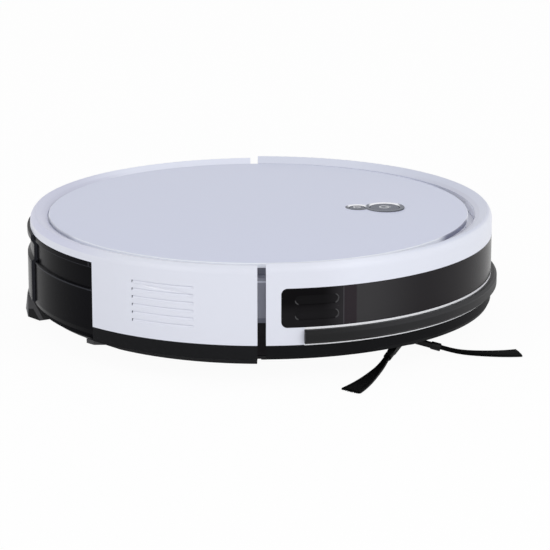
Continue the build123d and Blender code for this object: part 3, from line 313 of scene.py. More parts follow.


# painted light on the bumper's front, ahead of its two ends, and on its narrow band between the window and
# the rubber strip
bumperTones = {"ends": (74.0, 12.0), "band": (0.0338, 0.0362, 0.0006), "bandEnds": (80.8, 0.6)}


def bumperFront(net, place):
    return 1 - beyond(net, place, *bumperTones["ends"])


def underWindow(net, place):
    b = bumperTones
    return (1 - beyond(net, place, *b["bandEnds"])) * within(net, heightOf(net, place), *b["band"])


# louvres: painted light in the slits through the wall, and painted shade on the walls at the louvres' rear
# ends
louvres = {"heights": (0.0335, 0.0615, 0.0003), "slits": (106.9, 122.6, 0.1), "slitDepth": (0.1545, 0.0003),
           "ends": (122.6, 122.9, 0.05), "endDepth": (0.15485, 0.0001)}


def louvreSlits(net, place):
    v = louvres
    sunk = between(net, place, *v["slits"]) * nearer(net, place, *v["slitDepth"])
    return sunk * within(net, heightOf(net, place), *v["heights"])


def louvreEnds(net, place):
    v = louvres
    sunk = between(net, place, *v["ends"]) * nearer(net, place, *v["endDepth"])
    return sunk * within(net, heightOf(net, place), *v["heights"])


# the window's ends: a band beside the gloss inserts, a painted highlight on its edge, and a painted
# reflection (sheen) before it
windowEnds = {"sheen": (57.0, 20.0), "band": (68.3, 0.5), "edge": (71.42, 0.1)}


def windowSheen(net, place):
    return beyond(net, place, *windowEnds["sheen"])


def besideInserts(net, place):
    return beyond(net, place, *windowEnds["band"])


def windowEdge(net, place):
    return beyond(net, place, *windowEnds["edge"])


# the lid's bevelled edge, painted lighter (painted light), and the two places where painted shadow lies on
# it: from, to and how deep
lidRim = {"shift": 0.0018, "edge": (0.1402, 0.0003), "shadows": [(150.0, 173.0, 0.4), (12.0, 33.0, 1.0)],
          "shadowSoft": 6.0}


def lidEdge(net, place):
    x, y, _ = axes(net, place)
    return above(net, reachOf(x + lidRim["shift"], y), *lidRim["edge"])


def lidShadow(net, place):
    x, y, _ = axes(net, place)
    bearing = bearingOf(net, x + lidRim["shift"], y)
    soft = radians(lidRim["shadowSoft"])
    parts = [within(net, bearing, radians(low), radians(high), soft) * depth
             for low, high, depth in lidRim["shadows"]]
    return lidEdge(net, place) * either(*parts)


# gloss inserts: a painted reflection (sheen) that grows downwards and towards the window, as shares of the
# insert's size
insert = {"rear": 86.4, "length": 14.7, "top": 0.0611, "height": 0.0254, "radius": 0.155,
          "down": (0.50, 0.35), "downShare": 0.3, "ahead": (0.85, 0.40), "aheadShare": 0.9}


def insertSheen(net, place):
    x, y, z = axes(net, place)
    ahead = (radians(insert["rear"]) - bearingOf(net, x, y)) / radians(insert["length"])
    down = (insert["top"] - z) / insert["height"]
    return either(above(net, down, *insert["down"]) * insert["downShare"],
                  above(net, ahead, *insert["ahead"]) * insert["aheadShare"])


# two pills sunk into each insert: their floors, and painted highlights round their ends
pill = {
    "floor": (0.15465, 0.0003), "floorShare": 0.5, "bearing": 77.94, "middle": (0.0484, 0.0002),
    "halfPitch": 0.0049, "halfRun": 0.01125, "radius": 0.003, "line": (-0.0006, 0.0001, 0.0002),
    "turn": (0.0008, 0.0012), "rear": (0.0, 0.0002), "upper": (-0.0004, 0.0012), "lineShare": 0.8,
}


def pillFloors(net, place):
    return nearer(net, place, *pill["floor"]) * pill["floorShare"]


def pillEnds(net, place):
    p = pill
    x, y, z = axes(net, place)
    along = (bearingOf(net, x, y) - radians(p["bearing"])) * insert["radius"]
    up = z - p["middle"][0] + p["halfPitch"] - above(net, z, *p["middle"]) * (2 * p["halfPitch"])
    past = (along.do("ABSOLUTE") - p["halfRun"]).atLeast(0.0)
    line = within(net, reachOf(past, up) - p["radius"], *p["line"])
    lit = 1 - above(net, along, *p["rear"]) * above(net, up, *p["upper"])
    return line * above(net, past, *p["turn"]) * lit * p["lineShare"]


# painted highlights on the bin's edges: under its lip, along the grip's ledge, beside the middle panel and at
# the grip's ends
binHighlights = {"lip": (0.0630, 0.0637, 0.0003), "ledge": (0.0478, 0.0486, 0.0003), "grip": (0.0478, 0.0003),
           "line": (166.15, 0.1), "panel": (166.50, 0.1), "gripEnd": (0.1070, 0.1076, 0.0003)}


def binEdgeHighlights(net, place):
    w = binHighlights
    _, y, z = axes(net, place)
    beside = 1 - beyond(net, place, *w["panel"])
    lip = within(net, z, *w["lip"]) * beside
    ledge = within(net, z, *w["ledge"]) * beside
    line = beyond(net, place, *w["line"]) * beside
    gripEnd = within(net, y.do("ABSOLUTE"), *w["gripEnd"]) * above(net, z, *w["grip"])
    return either(lip, ledge, line, gripEnd)


# feet that turn in under the body, matt from the mould
feet = {"bin": (0.0190, 0.0012), "pan": (0.0156, 0.0012)}


def binFoot(net, place):
    return 1 - above(net, heightOf(net, place), *feet["bin"])


def panFoot(net, place):
    return 1 - above(net, heightOf(net, place), *feet["pan"])


# painted light on the pan's inner wall and its top, which show in the joint between bumper and shell
panWall = {"foot": (0.0160, 0.0003), "top": (0.0370, 0.0003), "radius": (0.1516, 0.0003)}


def jointPaintedLight(net, place):
    return above(net, heightOf(net, place), *panWall["foot"]) * nearer(net, place, *panWall["radius"])


def innerWallPaintedLight(net, place):
    return above(net, heightOf(net, place), *panWall["top"])


# skid: darker sides, with a black fin at its foot and a black front, both cut on the slant
skid = {"rear": (-0.1571, 0.0004), "slant": 0.5, "fin": (-0.1489, 0.0004), "finTop": (0.0095, 0.0004),
        "front": (-0.1461, 0.0004)}


def skidSides(net, place):
    return above(net, axes(net, place)[0], *skid["rear"])


def skidFins(net, place):
    x, _, z = axes(net, place)
    slant = x + z * skid["slant"]
    foot = (1 - above(net, slant, *skid["fin"])) * (1 - above(net, z, *skid["finTop"]))
    return either(foot * skidSides(net, place), above(net, slant, *skid["front"]))


# painted highlight along the upper edge of the rubber strip, and painted shade at its two ends
rubberStrip = {"edge": (0.0318, 0.0008), "ends": (66.0, 24.0), "endShare": 0.8}


def stripTop(net, place):
    return above(net, heightOf(net, place), *rubberStrip["edge"])


def stripEnds(net, place):
    return beyond(net, place, *rubberStrip["ends"]) * rubberStrip["endShare"]


# how far the two keys lie ahead of the middle
keyAhead = {"power": 0.0832, "home": 0.0647}

# button ring: a painted highlight on the far inner sides of its two eyes, one round each key
ring = {"far": (0.0005, 0.002),
        "eyes": {"power": {"outer": (0.0131, 0.0003), "half": (0.0100, 0.002)},
                 "home": {"outer": (0.0078, 0.0003), "half": (0.0062, 0.002)}}}


def ringGlint(net, place):
    x, y, _ = axes(net, place)
    parts = []
    for key, eye in ring["eyes"].items():
        aside = x - keyAhead[key]
        near = 1 - above(net, reachOf(aside, y), *eye["outer"])
        parts.append(near * (1 - above(net, aside.do("ABSOLUTE"), *eye["half"])))
    return either(*parts) * above(net, y, *ring["far"])


whiteTone = (0.73, 0.75, 0.84)
# a white for painted light, on the band under the window and on the bumper's lip
paintedLightWhite = (0.93, 0.94, 0.98)
# a white for the channel's painted light
channelPaintedLight = (0.92, 0.93, 1.0)
whiteGrain = {"grainScale": 1900.0, "grainStrength": 0.08, "clouding": 0.015}
panGrain = {"rough": 0.50, "grainScale": 1100.0, "grainStrength": 0.35, "clouding": 0.10, "specular": 0.03}
finishes = {
    # bumper: all its tones are painted light and shade: painted light on its front, the band under the
    # window, the channel and the far rim, painted shade on the front rim and its slope
    "bodyWhite": whiteGrain | {
        "color": whiteTone, "rough": 0.36,
        "tones": [((0.77, 0.795, 0.89), bumperFront), (paintedLightWhite, underWindow),
                  (channelPaintedLight, paintedLightInChannel), ((0.73, 0.76, 0.885), rimFar),
                  ((0.645, 0.674, 0.80), rimFront), ((0.60, 0.62, 0.74), rimFrontSlope)]},
    # lip: a brighter white than the bumper, painted light
    "lipWhite": whiteGrain | {"color": paintedLightWhite, "rough": 0.30},
    # shell: all its tones are painted light and shade: painted shade inside it, at the louvres' rear ends and
    # on the rear rim and its slope, painted light in the louvre slits, the channel and the far rim
    "shellWhite": whiteGrain | {
        "color": whiteTone, "rough": 0.36,
        "tones": [((0.33, 0.34, 0.41), paintedShadeBehindBumper), ((0.82, 0.835, 0.915), louvreSlits),
                  ((0.16, 0.17, 0.20), louvreEnds), (channelPaintedLight, paintedLightInChannel), ((0.84, 0.87, 1.0), rimFar),
                  ((0.635, 0.65, 0.80), rimRear), ((0.606, 0.62, 0.77), rimRearSlope)]},
    # lid: painted light on its bevelled edge, and painted shadows on that edge
    "lidWhite": {"color": (0.660, 0.695, 0.86), "rough": 0.34, "grainScale": 2400.0, "grainStrength": 0.05,
                 "clouding": 0.02, "specular": 0.25,
                 "tones": [((0.88, 0.91, 0.98), lidEdge), ((0.22, 0.23, 0.32), lidShadow)]},
    "panBlack": panGrain | {"color": (0.0085, 0.0087, 0.0097)},
    # pan: painted light on its inner wall and top where they show in the joint
    "panTwoTone": panGrain | {
        "color": (0.0125, 0.0128, 0.0140), "dullPlace": panFoot,
        "tones": [((0.026, 0.024, 0.027), jointPaintedLight), ((0.24, 0.25, 0.30), innerWallPaintedLight)]},
    # window: a painted reflection (sheen) towards its ends, and a painted highlight along its edge
    "windowSmoke": {"color": (0.0190, 0.0175, 0.0195), "rough": 0.22, "grainScale": 2600.0,
                    "grainStrength": 0.04, "clouding": 0.2, "cloudScale": 9.0, "specular": 0.06,
                    "tones": [((0.041, 0.040, 0.0425), windowSheen),
                              ((0.0258, 0.0208, 0.0250), besideInserts),
                              ((0.052, 0.050, 0.056), windowEdge)]},
    # inserts: a painted reflection (sheen)
    "insertGloss": {"color": (0.0022, 0.0019, 0.0026), "rough": 0.10, "grainStrength": 0.02, "specular": 0.05,
                    "clouding": 0.2,
                    "tones": [((0.026, 0.0245, 0.0275), insertSheen), ((0.0075, 0.0073, 0.0082), pillFloors),
                              # painted highlights round the pills' ends
                              ((0.10, 0.10, 0.105), pillEnds)]},
    # rubber strip: a painted highlight along its upper edge, painted shade at its ends
    "stripRubber": {"color": (0.0110, 0.0112, 0.0127), "rough": 0.50, "grainScale": 900.0,
                    "grainStrength": 0.3, "clouding": 0.12, "specular": 0.22,
                    "tones": [((0.022, 0.0222, 0.0245), stripTop), ((0.0035, 0.0036, 0.0042), stripEnds)]},
    # bin: painted highlights along its edges
    "binSmoke": {"color": (0.0044, 0.0044, 0.0058), "rough": 0.22, "grainScale": 2200.0,
                 "grainStrength": 0.04, "clouding": 0.25, "cloudScale": 30.0, "specular": 0.022,
                 "dullPlace": binFoot, "tones": [((0.034, 0.035, 0.042), binEdgeHighlights)]},
    "binInner": {"color": (0.02, 0.02, 0.022), "rough": 0.3, "clouding": 0.2, "specular": 0.3},
    "runnerGrey": {"color": (0.035, 0.035, 0.038), "rough": 0.5, "grainStrength": 0.2, "clouding": 0.06,
                   "specular": 0.3},
    "skidGrey": {"color": (0.285, 0.287, 0.30), "rough": 0.45, "grainScale": 1200.0, "grainStrength": 0.2,
                 "clouding": 0.05, "specular": 0.2,
                 "tones": [((0.085, 0.085, 0.090), skidSides), ((0.008, 0.008, 0.009), skidFins)]},
    "innerBlack": {"color": (0.012, 0.012, 0.013), "rough": 0.55, "grainStrength": 0.3, "clouding": 0.15},
    "innerGrey": {"color": (0.12, 0.125, 0.13), "rough": 0.5, "grainStrength": 0.25, "clouding": 0.08},
    "filterPaper": {"color": (0.78, 0.76, 0.70), "rough": 0.85, "grainScale": 600.0, "grainStrength": 0.6,
                    "grainDepth": 0.0002, "clouding": 0.12, "cloudScale": 120.0},
    "bristleNylon": {"color": (0.0024, 0.0024, 0.0027), "rough": 0.5, "grainScale": 300.0, "clouding": 0.5,
                     "cloudScale": 200.0, "specular": 0.06},
    "armBlack": {"color": (0.007, 0.007, 0.0075), "rough": 0.45, "grainScale": 900.0, "grainStrength": 0.25,
                 "clouding": 0.12, "specular": 0.10},
    "bladeRubber": {"color": (0.016, 0.016, 0.017), "rough": 0.6, "grainStrength": 0.3, "clouding": 0.1},
    "motorMetal": {"color": (0.55, 0.56, 0.58), "rough": 0.38, "metallic": 1.0, "grainStrength": 0.2},
    "cellWrap": {"color": (0.02, 0.06, 0.20), "rough": 0.25, "clouding": 0.1, "coat": 0.3},
    "boardGreen": {"color": (0.015, 0.10, 0.03), "rough": 0.4, "grainScale": 500.0, "grainStrength": 0.3,
                   "clouding": 0.25, "cloudScale": 160.0},
    "screwSteel": {"color": (0.5, 0.5, 0.52), "rough": 0.3, "metallic": 1.0, "grainStrength": 0.15},
    "contactSteel": {"color": (0.72, 0.70, 0.66), "rough": 0.16, "metallic": 1.0, "grainStrength": 0.1},
    "tyreRubber": {"color": (0.010, 0.010, 0.010), "rough": 0.75, "grainScale": 800.0, "grainStrength": 0.4,
                   "clouding": 0.2},
    "rimGrey": {"color": (0.05, 0.05, 0.055), "rough": 0.45, "grainStrength": 0.2},
    "casterPlastic": {"color": (0.02, 0.02, 0.021), "rough": 0.4, "grainStrength": 0.2},
    "iconWhite": {"color": (0.85, 0.86, 0.88), "rough": 0.35},
}
keyMetal = {"color": (0.19, 0.195, 0.21), "rough": 0.30, "ringScale": 4200.0, "ringStrength": 0.25,
            "edgeTint": (0.63, 0.65, 0.71)}
metals = {
    # ring: a painted highlight on the far inner sides of its eyes
    "ringChrome": {"centre": (keyAhead["power"], 0, 0), "color": (0.100, 0.104, 0.119), "rough": 0.12,
                   "ringScale": 1500.0, "ringStrength": 0.03, "edgeTint": (0.76, 0.78, 0.83),
                   "tones": [((0.97, 0.97, 0.99), ringGlint)]},
    "powerMetal": keyMetal | {"centre": (keyAhead["power"], 0, 0)},
    "homeMetal": keyMetal | {"centre": (keyAhead["home"], 0, 0)},
}
paint = {name: moulded(name, look) for name, look in finishes.items()}
paint |= {name: turnedMetal(name, look) for name, look in metals.items()}

wardrobe = {
    "bodyWhite": ["bumper_shell"],
    "shellWhite": ["upper_shell"],
    "lidWhite": ["top_panel"],
    "panBlack": ["brush_guard", "battery_cover", "bumper_skirt"],
    "panTwoTone": ["base_pan"],
    "windowSmoke": ["bumper_window", "cliff_windows"],
    "insertGloss": ["window_insert_right", "window_insert_left"],
    "stripRubber": ["bumper_strip"],
    "binSmoke": ["bin_face", "bin_button"],
    "binInner": ["bin_tub", "bin_lid"],
    "runnerGrey": ["bin_runners"],
    "skidGrey": ["bin_skid"],
    "ringChrome": ["button_ring"],
    "powerMetal": ["power_button"],
    "homeMetal": ["home_button"],
    "innerBlack": ["bumper_sensors", "bin_bay", "brush_housing", "wheel_well_right", "wheel_well_left",
                   "caster_socket", "brush_core", "wheel_arm_right", "wheel_arm_left"],
    "armBlack": ["side_hub_right", "side_hub_left"],
    "innerGrey": ["fan_housing", "filter_frame", "impeller"],
    "filterPaper": ["filter_pleats"],
    "bristleNylon": ["brush_bristles", "side_tufts_right", "side_tufts_left"],
    "bladeRubber": ["brush_blades"],
    "motorMetal": ["brush_motor", "fan_motor", "side_motor_right", "side_motor_left"],
    "cellWrap": ["battery_pack"],
    "boardGreen": ["main_board", "key_board"],
    "screwSteel": ["chassis_screws"],
    "contactSteel": ["charge_contacts"],
    "tyreRubber": ["tyre_right", "tyre_left"],
    "rimGrey": ["wheel_rim_right", "wheel_rim_left"],
    "casterPlastic": ["caster_fork", "caster_wheel"],
}
for finish, wearers in wardrobe.items():
    for wearer in wearers:
        for slot in nodes[wearer].material_slots:
            slot.material = paint[finish]
print("finishes:", len(paint))


def placed(name, data):
    item = bpy.data.objects.new(name, data)
    bpy.context.scene.collection.objects.link(item)
    return item


def piece(name, mesh, body, material):
    item = placed(name, mesh)
    mesh.materials.clear()
    mesh.materials.append(material)
    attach(item, body)
    return item


def meshOf(name, shape):
    mesh = bpy.data.meshes.new(name)
    shape.to_mesh(mesh)
    shape.free()
    return mesh


# several meshes as one
def joined(name, meshes):
    shape = bmesh.new()
    for mesh in meshes:
        shape.from_mesh(mesh)
    return meshOf(name, shape)


# walls between rings of vertices, with a cap at each end
def skin(shape, rings):
    count = len(rings[0])
    for one, two in zip(rings, rings[1:]):
        for k in range(count):
            shape.faces.new((one[k], one[(k + 1) % count], two[(k + 1) % count], two[k]))
    shape.faces.new(rings[0])
    shape.faces.new(rings[-1])


# a geometry tree with named inputs; make() gives the geometry that it ends in
socketKinds = {int: "NodeSocketInt", float: "NodeSocketFloat", tuple: "NodeSocketVector",
               bpy.types.Material: "NodeSocketMaterial"}


def geometryTree(name, inputs, make):
    tree = bpy.data.node_groups.new(name, "GeometryNodeTree")
    for label, value in inputs.items():
        tree.interface.new_socket(name=label, in_out="INPUT", socket_type=socketKinds[type(value)])
    tree.interface.new_socket(name="Geometry", in_out="OUTPUT", socket_type="NodeSocketGeometry")
    net = Net(tree)
    source = tree.nodes.new("NodeGroupInput")
    given = {label: Link(net, source.outputs[label]) for label in inputs}
    whole = net.add("GeometryNodeRealizeInstances", {}, {"Geometry": make(net, given)})
    painted = net.add("GeometryNodeSetMaterial", {}, {"Geometry": whole, "Material": given["material"]})
    net.add("NodeGroupOutput", {}, {"Geometry": painted})
    return tree


# the tree's result, with these values for its inputs, as a plain mesh
def grown(tree, values):
    holder = placed(tree.name, bpy.data.meshes.new(tree.name))
    modifier = holder.modifiers.new(tree.name, "NODES")
    modifier.node_group = tree
    for item in tree.interface.items_tree:
        if item.in_out == "INPUT":
            modifier[item.identifier] = values[item.name]
    graph = bpy.context.evaluated_depsgraph_get()
    mesh = bpy.data.meshes.new_from_object(holder.evaluated_get(graph), depsgraph=graph)
    holder.modifiers.clear()
    bpy.data.objects.remove(holder)
    return mesh


# straight strands to be laid out, with the number of each and the run along it from 0 to 1
def strandsOf(net, points, amount):
    line = net.add("GeometryNodeCurvePrimitiveLine", {}, {"Start": (0, 0, 0), "End": (0, 0, 1)})
    strand = net.add("GeometryNodeResampleCurve", {}, {"Curve": line, "Count": points})
    many = net.add("GeometryNodeDuplicateElements", {"domain": "SPLINE"},
                   {"Geometry": strand, "Amount": amount})
    number = net.add("GeometryNodeCurveOfPoint", out="Curve Index")
    run = net.add("GeometryNodeSplineParameter", out="Factor")
    return many, number, run


# a random value for each strand
def chance(net, number, seed, low=-1.0, high=1.0):
    return net.add("FunctionNodeRandomValue", {"data_type": "FLOAT"},
                   {2: low, 3: high, "ID": number, "Seed": seed}, 1)


# strands laid in their places and given a thickness that tapers to the tip
def bristles(net, many, place, run, brush, radius):
    laid = net.add("GeometryNodeSetPosition", {}, {"Geometry": many, "Position": place})
    tapered = net.add("GeometryNodeSetCurveRadius", {}, {"Curve": laid, "Radius": 1 - brush["taper"] * run})
    section = net.add("GeometryNodeCurvePrimitiveCircle", {},
                      {"Resolution": brush["sides"], "Radius": radius})
    return net.add("GeometryNodeCurveToMesh", {},
                   {"Curve": tapered, "Profile Curve": section, "Fill Caps": True})


# Side brushes: three tufts each, made of single bristles that run down along the arm's line to the floor
sideBrush = {
    "hub": (0.09002, 0.09654), "armReach": 0.0241, "rootHeight": 0.0122, "endHeight": 0.0051,
    "arms": (1.4, -118.6, -238.6), "reaches": (0.0754, 0.0890, 0.0840), "bends": (-2.3, 3.35, 3.0),
    "sways": (-2.9, 1.5, 0.0), "slants": (-0.028, 0.028, 0.0), "seeds": (3, 14, 25),
    "floorGap": 0.0006, "landing": 0.0020, "rootHalf": 0.0015, "tipHalf": 0.0070, "spread": 1.25,
    "rootRise": 0.0014, "tipRise": 0.0008, "edgeThinning": 0.6, "unevenness": 0.02,
    "strands": 620, "strandRadius": 0.00018, "points": 14, "sides": 3, "taper": 0.35,
    "plugRadius": 0.0022, "plugLength": 0.002, "plugSegments": 20,
}


def tuftTree():
    def make(net, given):
        many, number, run = strandsOf(net, sideBrush["points"], given["strands"])
        across = chance(net, number, given["seed"] + 1)
        up = chance(net, number, given["seed"] + 2)
        t = run * (1 - given["unevenness"] * chance(net, number, given["seed"] + 3, low=0.0))
        way = (given["reach"] - given["start"]) * t * (1 + given["slant"] * across)
        aim = given["aim"] + given["bend"] * t * (2 - t) + given["sway"] * t * (1 - t) * 4
        rise = given["rootRise"] + (given["tipRise"] - given["rootRise"]) * t
        lowest = given["floorGap"] + rise
        drop = given["startHeight"] - given["slope"] * way - lowest
        height = lowest + (drop + (drop * drop + given["landing"] * given["landing"]) ** 0.5) * 0.5
        lift = up * rise * (1 - given["edgeThinning"] * across * across) ** 0.5
        half = (given["rootHalf"] + (given["tipHalf"] - given["rootHalf"]) * t ** given["spread"]) * across
        far = given["start"] + way
        east = far * aim.do("COSINE") - half * aim.do("SINE")
        north = far * aim.do("SINE") + half * aim.do("COSINE")
        spot = {"X": east, "Y": north * given["mirror"], "Z": height + lift}
        place = net.add("ShaderNodeCombineXYZ", {}, spot) + given["hub"]
        return bristles(net, many, place, run, sideBrush, given["strandRadius"])
    sizes = ("unevenness", "start", "reach", "aim", "bend", "sway", "slant", "mirror", "startHeight", "slope",
             "floorGap", "landing", "rootHalf", "tipHalf", "spread", "rootRise", "tipRise", "edgeThinning",
             "strandRadius")
    inputs = {"strands": 1, "seed": 1, "hub": (0.0, 0.0, 0.0), "material": paint["bristleNylon"]}
    return geometryTree("tuft", inputs | {label: 0.0 for label in sizes}, make)


# short round plug that holds a tuft in the end of its arm
def tuftPlug(root, way):
    s = sideBrush
    plug = bmesh.new()
    seat = Matrix.Translation(root) @ way.to_track_quat("Z", "Y").to_matrix().to_4x4()
    bmesh.ops.create_cone(plug, cap_ends=True, segments=s["plugSegments"], radius1=s["plugRadius"],
                          radius2=s["plugRadius"], depth=s["plugLength"], matrix=seat)
    return meshOf("plug", plug)


def sideTufts(side, sign):
    s = sideBrush
    tree = tuftTree()
    hub = Vector((s["hub"][0], sign * s["hub"][1], 0))
    slope = (s["rootHeight"] - s["endHeight"]) / s["armReach"]
    start = s["armReach"] - s["plugLength"]
    every = {"hub": hub, "mirror": float(-sign), "slope": slope, "start": start,
             "startHeight": s["rootHeight"] - slope * start, "material": paint["bristleNylon"]}
    meshes = []
    shapes = zip(s["arms"], s["reaches"], s["bends"], s["sways"], s["slants"], s["seeds"])
    for arm, reach, bend, sway, slant, seed in shapes:
        own = {"aim": radians(arm), "reach": reach, "bend": radians(bend), "sway": radians(sway),
               "slant": slant, "seed": seed}
        meshes.append(grown(tree, s | every | own))
        way = Vector((cos(radians(arm)), -sign * sin(radians(arm)), -slope)).normalized()
        run = s["armReach"] / way.xy.length - s["plugLength"] / 2
        meshes.append(tuftPlug(hub + Vector((0, 0, s["rootHeight"])) + way * run, way))
    tufts = piece("sideBristles_" + side, joined("sideBristles_" + side, meshes), "side_brush_" + side,
                  paint["bristleNylon"])
    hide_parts("side_tufts_" + side)


sideTufts("right", -1)
sideTufts("left", 1)
print("side brushes done")


# Main brush: three chevron rows of bristles on their backing strips
roller = {
    "axis": (-0.045, 0.0, 0.022), "half": 0.068, "rows": 3, "twist": 35.0, "rootRadius": 0.0088,
    "tipRadius": 0.0210, "tuftsPerRow": 46, "strandsPerTuft": 26, "tuftHalf": 0.0011, "endRoom": 2.5,
    "splay": 1.6, "turnShare": 0.8, "shortening": 0.025, "seed": 5,
    "strandRadius": 0.00012, "points": 3, "sides": 3, "taper": 0.3,
    "stripInner": 0.0082, "stripOuter": 0.0104, "stripWidth": 0.004, "stripTop": 0.7, "stripSteps": 24,
}


def rollerTree():
    r = roller

    def make(net, given):
        rows, tufts, each = given["rows"], given["tuftsPerRow"], given["strandsPerTuft"]
        many, number, run = strandsOf(net, r["points"], rows * tufts * each)
        tuft = (number / each).do("FLOOR")
        row = (tuft / tufts).do("FLOOR")
        along = (tuft - row * tufts + 0.5) / tufts * 2 - 1
        spread = given["tuftHalf"] * (1 + given["splay"] * run)
        aside = chance(net, number, given["seed"] + 1) * spread
        turn = chance(net, number, given["seed"] + 2) * spread / given["tipRadius"] * r["turnShare"]
        length = 1 - r["shortening"] + r["shortening"] * chance(net, number, given["seed"] + 3)
        y = along * (given["half"] - r["endRoom"] * given["tuftHalf"]) + aside
        angle = row / rows * tau + along.do("ABSOLUTE") * given["twist"] + turn
        reach = given["rootRadius"] + (given["tipRadius"] - given["rootRadius"]) * run * length
        spot = {"X": reach * angle.do("COSINE"), "Y": y, "Z": reach * angle.do("SINE")}
        place = net.add("ShaderNodeCombineXYZ", {}, spot) + given["axis"]
        return bristles(net, many, place, run, r, given["strandRadius"])
    sizes = ("half", "twist", "rootRadius", "tipRadius", "tuftHalf", "splay", "strandRadius")
    inputs = {"rows": 1, "tuftsPerRow": 1, "strandsPerTuft": 1, "seed": 1, "axis": (0.0, 0.0, 0.0),
              "material": paint["bristleNylon"]}
    return geometryTree("rollerBristles", inputs | {label: 0.0 for label in sizes}, make)


def rollerStrips():
    r = roller
    shape = bmesh.new()
    corners = [(r["stripInner"], -1), (r["stripOuter"], -r["stripTop"]),
               (r["stripOuter"], r["stripTop"]), (r["stripInner"], 1)]
    for row in range(r["rows"]):
        rings = []
        for i in range(r["stripSteps"] + 1):
            y = r["half"] * (2 * i / r["stripSteps"] - 1)
            angle = row / r["rows"] * tau + radians(r["twist"]) * abs(y) / r["half"]
            out = Vector((cos(angle), 0, sin(angle)))
            aside = Vector((-sin(angle), 0, cos(angle)))
            middle = Vector(r["axis"]) + Vector((0, y, 0))
            rings.append([shape.verts.new(middle + out * far + aside * (side * r["stripWidth"] / 2))
                          for far, side in corners])
        skin(shape, rings)
    bmesh.ops.recalc_face_normals(shape, faces=shape.faces)
    return meshOf("rollerStrips", shape)


rollerValues = roller | {"twist": radians(roller["twist"]), "material": paint["bristleNylon"]}
rollerMeshes = [grown(rollerTree(), rollerValues), rollerStrips()]
rollerBristles = piece("rollerBristles", joined("rollerBristles", rollerMeshes), "main_brush",
                       paint["bristleNylon"])
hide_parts("brush_bristles")
print("main brush done")


# Bumper's lower lip: a white bead, painted a brighter white than the bumper (painted light), that shows as a
# thin line under the rubber strip
lip = {"low": 0.0242, "high": 0.0255, "root": 0.1545, "proud": 0.1561, "halfAngle": 81.0, "steps": 108,
       "noseAngle": 80.0, "noseSteps": 8}


def bumperLip():
    middle = (lip["low"] + lip["high"]) / 2
    half = (lip["high"] - lip["low"]) / 2
    section = [(lip["root"], lip["low"])]
    for i in range(lip["noseSteps"] + 1):
        a = radians(lip["noseAngle"]) * (2 * i / lip["noseSteps"] - 1)
        section.append((lip["proud"] - half * (1 - cos(a)), middle + half * sin(a)))
    section.append((lip["root"], lip["high"]))
    shape = bmesh.new()
    rings = []
    for i in range(lip["steps"] + 1):
        bearing = radians(lip["halfAngle"]) * (2 * i / lip["steps"] - 1)
        rings.append([shape.verts.new((r * cos(bearing), r * sin(bearing), z)) for r, z in section])
    skin(shape, rings)
    bmesh.ops.recalc_face_normals(shape, faces=shape.faces)
    piece("bumperLip", meshOf("bumperLip", shape), "bumper", paint["lipWhite"])


bumperLip()
print("bumper lip done")


# Signs on the keys: a plain power sign and a plain house, as thin raised inlays
signs = {
    "line": 0.0007, "proud": 0.00012, "sunk": 0.0003,
    "powerRadius": 0.0033, "powerFrom": 35.0, "powerSweep": 290.0, "powerSteps": 28,
    "powerBar": (0.0006, 0.0042), "houseHalf": 0.0021, "eaves": 0.1, "roofHalf": 1.35, "roofTop": 1.2,
}


# flat lines through points, thickened to an inlay on top of a key
def inlay(name, lines, ahead, top, body):
    shape = bmesh.new()
    for line in lines:
        last = None
        for i, point in enumerate(line):
            before = Vector(line[max(i - 1, 0)])
            after = Vector(line[min(i + 1, len(line) - 1)])
            way = (after - before).normalized()
            side = Vector((-way.y, way.x)) * (signs["line"] / 2)
            pair = []
            for p in (Vector(point) + side, Vector(point) - side):
                pair.append([shape.verts.new((ahead + p.x, p.y, top + z))
                             for z in (-signs["sunk"], signs["proud"])])
            if last:
                shape.faces.new((last[0][1], last[1][1], pair[1][1], pair[0][1]))
                shape.faces.new((last[0][0], pair[0][0], pair[1][0], last[1][0]))
                shape.faces.new((last[0][0], last[0][1], pair[0][1], pair[0][0]))
                shape.faces.new((last[1][1], last[1][0], pair[1][0], pair[1][1]))
            if i in (0, len(line) - 1):
                shape.faces.new((pair[0][0], pair[0][1], pair[1][1], pair[1][0]))
            last = pair
    bmesh.ops.recalc_face_normals(shape, faces=shape.faces)
    piece(name, meshOf(name, shape), body, paint["iconWhite"])


arc = []
for i in range(signs["powerSteps"] + 1):
    a = radians(signs["powerFrom"] + signs["powerSweep"] * i / signs["powerSteps"])
    arc.append((signs["powerRadius"] * cos(a), signs["powerRadius"] * sin(a)))
bar = [(x, 0) for x in signs["powerBar"]]
inlay("powerSign", [arc, bar], keyAhead["power"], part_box("power_button")[1].z, "power_button")
h = signs["houseHalf"]
house = [(h * signs["eaves"], -h), (-h, -h), (-h, h), (h * signs["eaves"], h)]
roof = [(0.0, -h * signs["roofHalf"]), (h * signs["roofTop"], 0), (0.0, h * signs["roofHalf"])]
inlay("homeSign", [house, roof], keyAhead["home"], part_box("home_button")[1].z, "home_button")
print("key signs done")


# Floor, light and camera: the helper gives 1 where a camera, mirror or glass ray meets the backdrop
def seenDirectly(net):
    camera, glossy, through = [net.add("ShaderNodeLightPath", out=label) for label in
                               ("Is Camera Ray", "Is Glossy Ray", "Is Transmission Ray")]
    return camera.atLeast(glossy).atLeast(through)


def aimed(item, place, target):
    item.location = place
    item.rotation_euler = (Vector(target) - item.location).to_track_quat("-Z", "Y").to_euler()


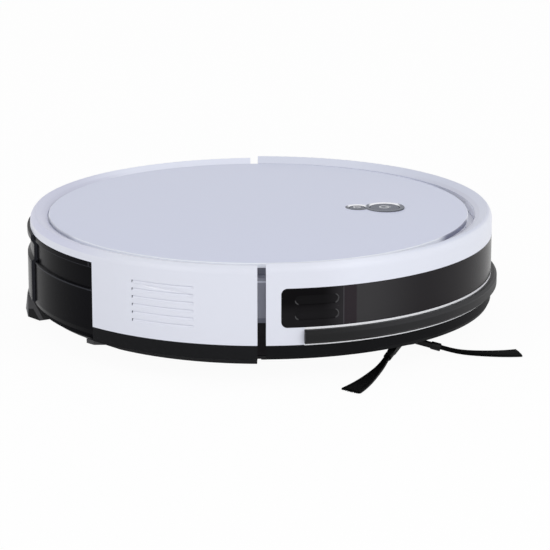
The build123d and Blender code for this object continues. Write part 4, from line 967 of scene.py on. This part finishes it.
studio = {"floorHalf": 4.0, "floorColor": (0.96, 0.96, 0.96), "floorGlow": 0.955,
          "sky": [(0.0, 0.94), (0.9, 0.59)]}
floorMaterial = bpy.data.materials.new("floorWhite")
net = bareNet(floorMaterial)
matte = net.add("ShaderNodeBsdfDiffuse", {}, {"Color": rgba(studio["floorColor"])})
white = net.add("ShaderNodeEmission", {}, {"Color": (1, 1, 1, 1), "Strength": 1.0})
glow = net.add("ShaderNodeMixShader", {}, {0: seenDirectly(net) * studio["floorGlow"], 1: matte, 2: white})
net.add("ShaderNodeOutputMaterial", {}, {"Surface": glow})
floorShape = bmesh.new()
bmesh.ops.create_grid(floorShape, x_segments=1, y_segments=1, size=studio["floorHalf"])
floor = placed("floor", meshOf("floor", floorShape))
floor.data.materials.append(floorMaterial)

world = bpy.data.worlds.new("studio")
bpy.context.scene.world = world
net = bareNet(world)
height = heightOf(net, net.add("ShaderNodeTexCoord", out="Generated"))
sky = net.add("ShaderNodeValToRGB", {"stops": studio["sky"]}, {"Fac": height})
ambient = net.add("ShaderNodeBackground", {}, {"Color": sky, "Strength": 1.0})
backdrop = net.add("ShaderNodeBackground", {}, {"Color": (1, 1, 1, 1), "Strength": 1.0})
shown = net.add("ShaderNodeMixShader", {}, {0: seenDirectly(net), 1: ambient, 2: backdrop})
net.add("ShaderNodeOutputWorld", {}, {"Surface": shown})

lampTarget = (0, 0, 0.03)
lamps = {
    "keySoftbox": {"place": (0.70, -0.95, 0.62), "size": 0.9, "watts": 3.6},
    "fillSoftbox": {"place": (-1.30, -1.30, 0.60), "size": 1.0, "watts": 4.5},
}
for name, lamp in lamps.items():
    light = bpy.data.lights.new(name, "AREA")
    light.size = lamp["size"]
    light.energy = lamp["watts"]
    aimed(placed(name, light), lamp["place"], lampTarget)

photoView = {"place": (-0.03159, -1.8141, 0.51631), "target": (0.009356, -0.000211, 0.02852), "lens": 181.58,
             "sensor": 36.0}
camera = bpy.data.cameras.new("photoCamera")
camera.lens = photoView["lens"]
camera.sensor_width = photoView["sensor"]
viewer = placed("photoCamera", camera)
aimed(viewer, photoView["place"], photoView["target"])
bpy.context.scene.camera = viewer
bpy.context.scene.view_settings.view_transform = "Standard"
print("studio done")
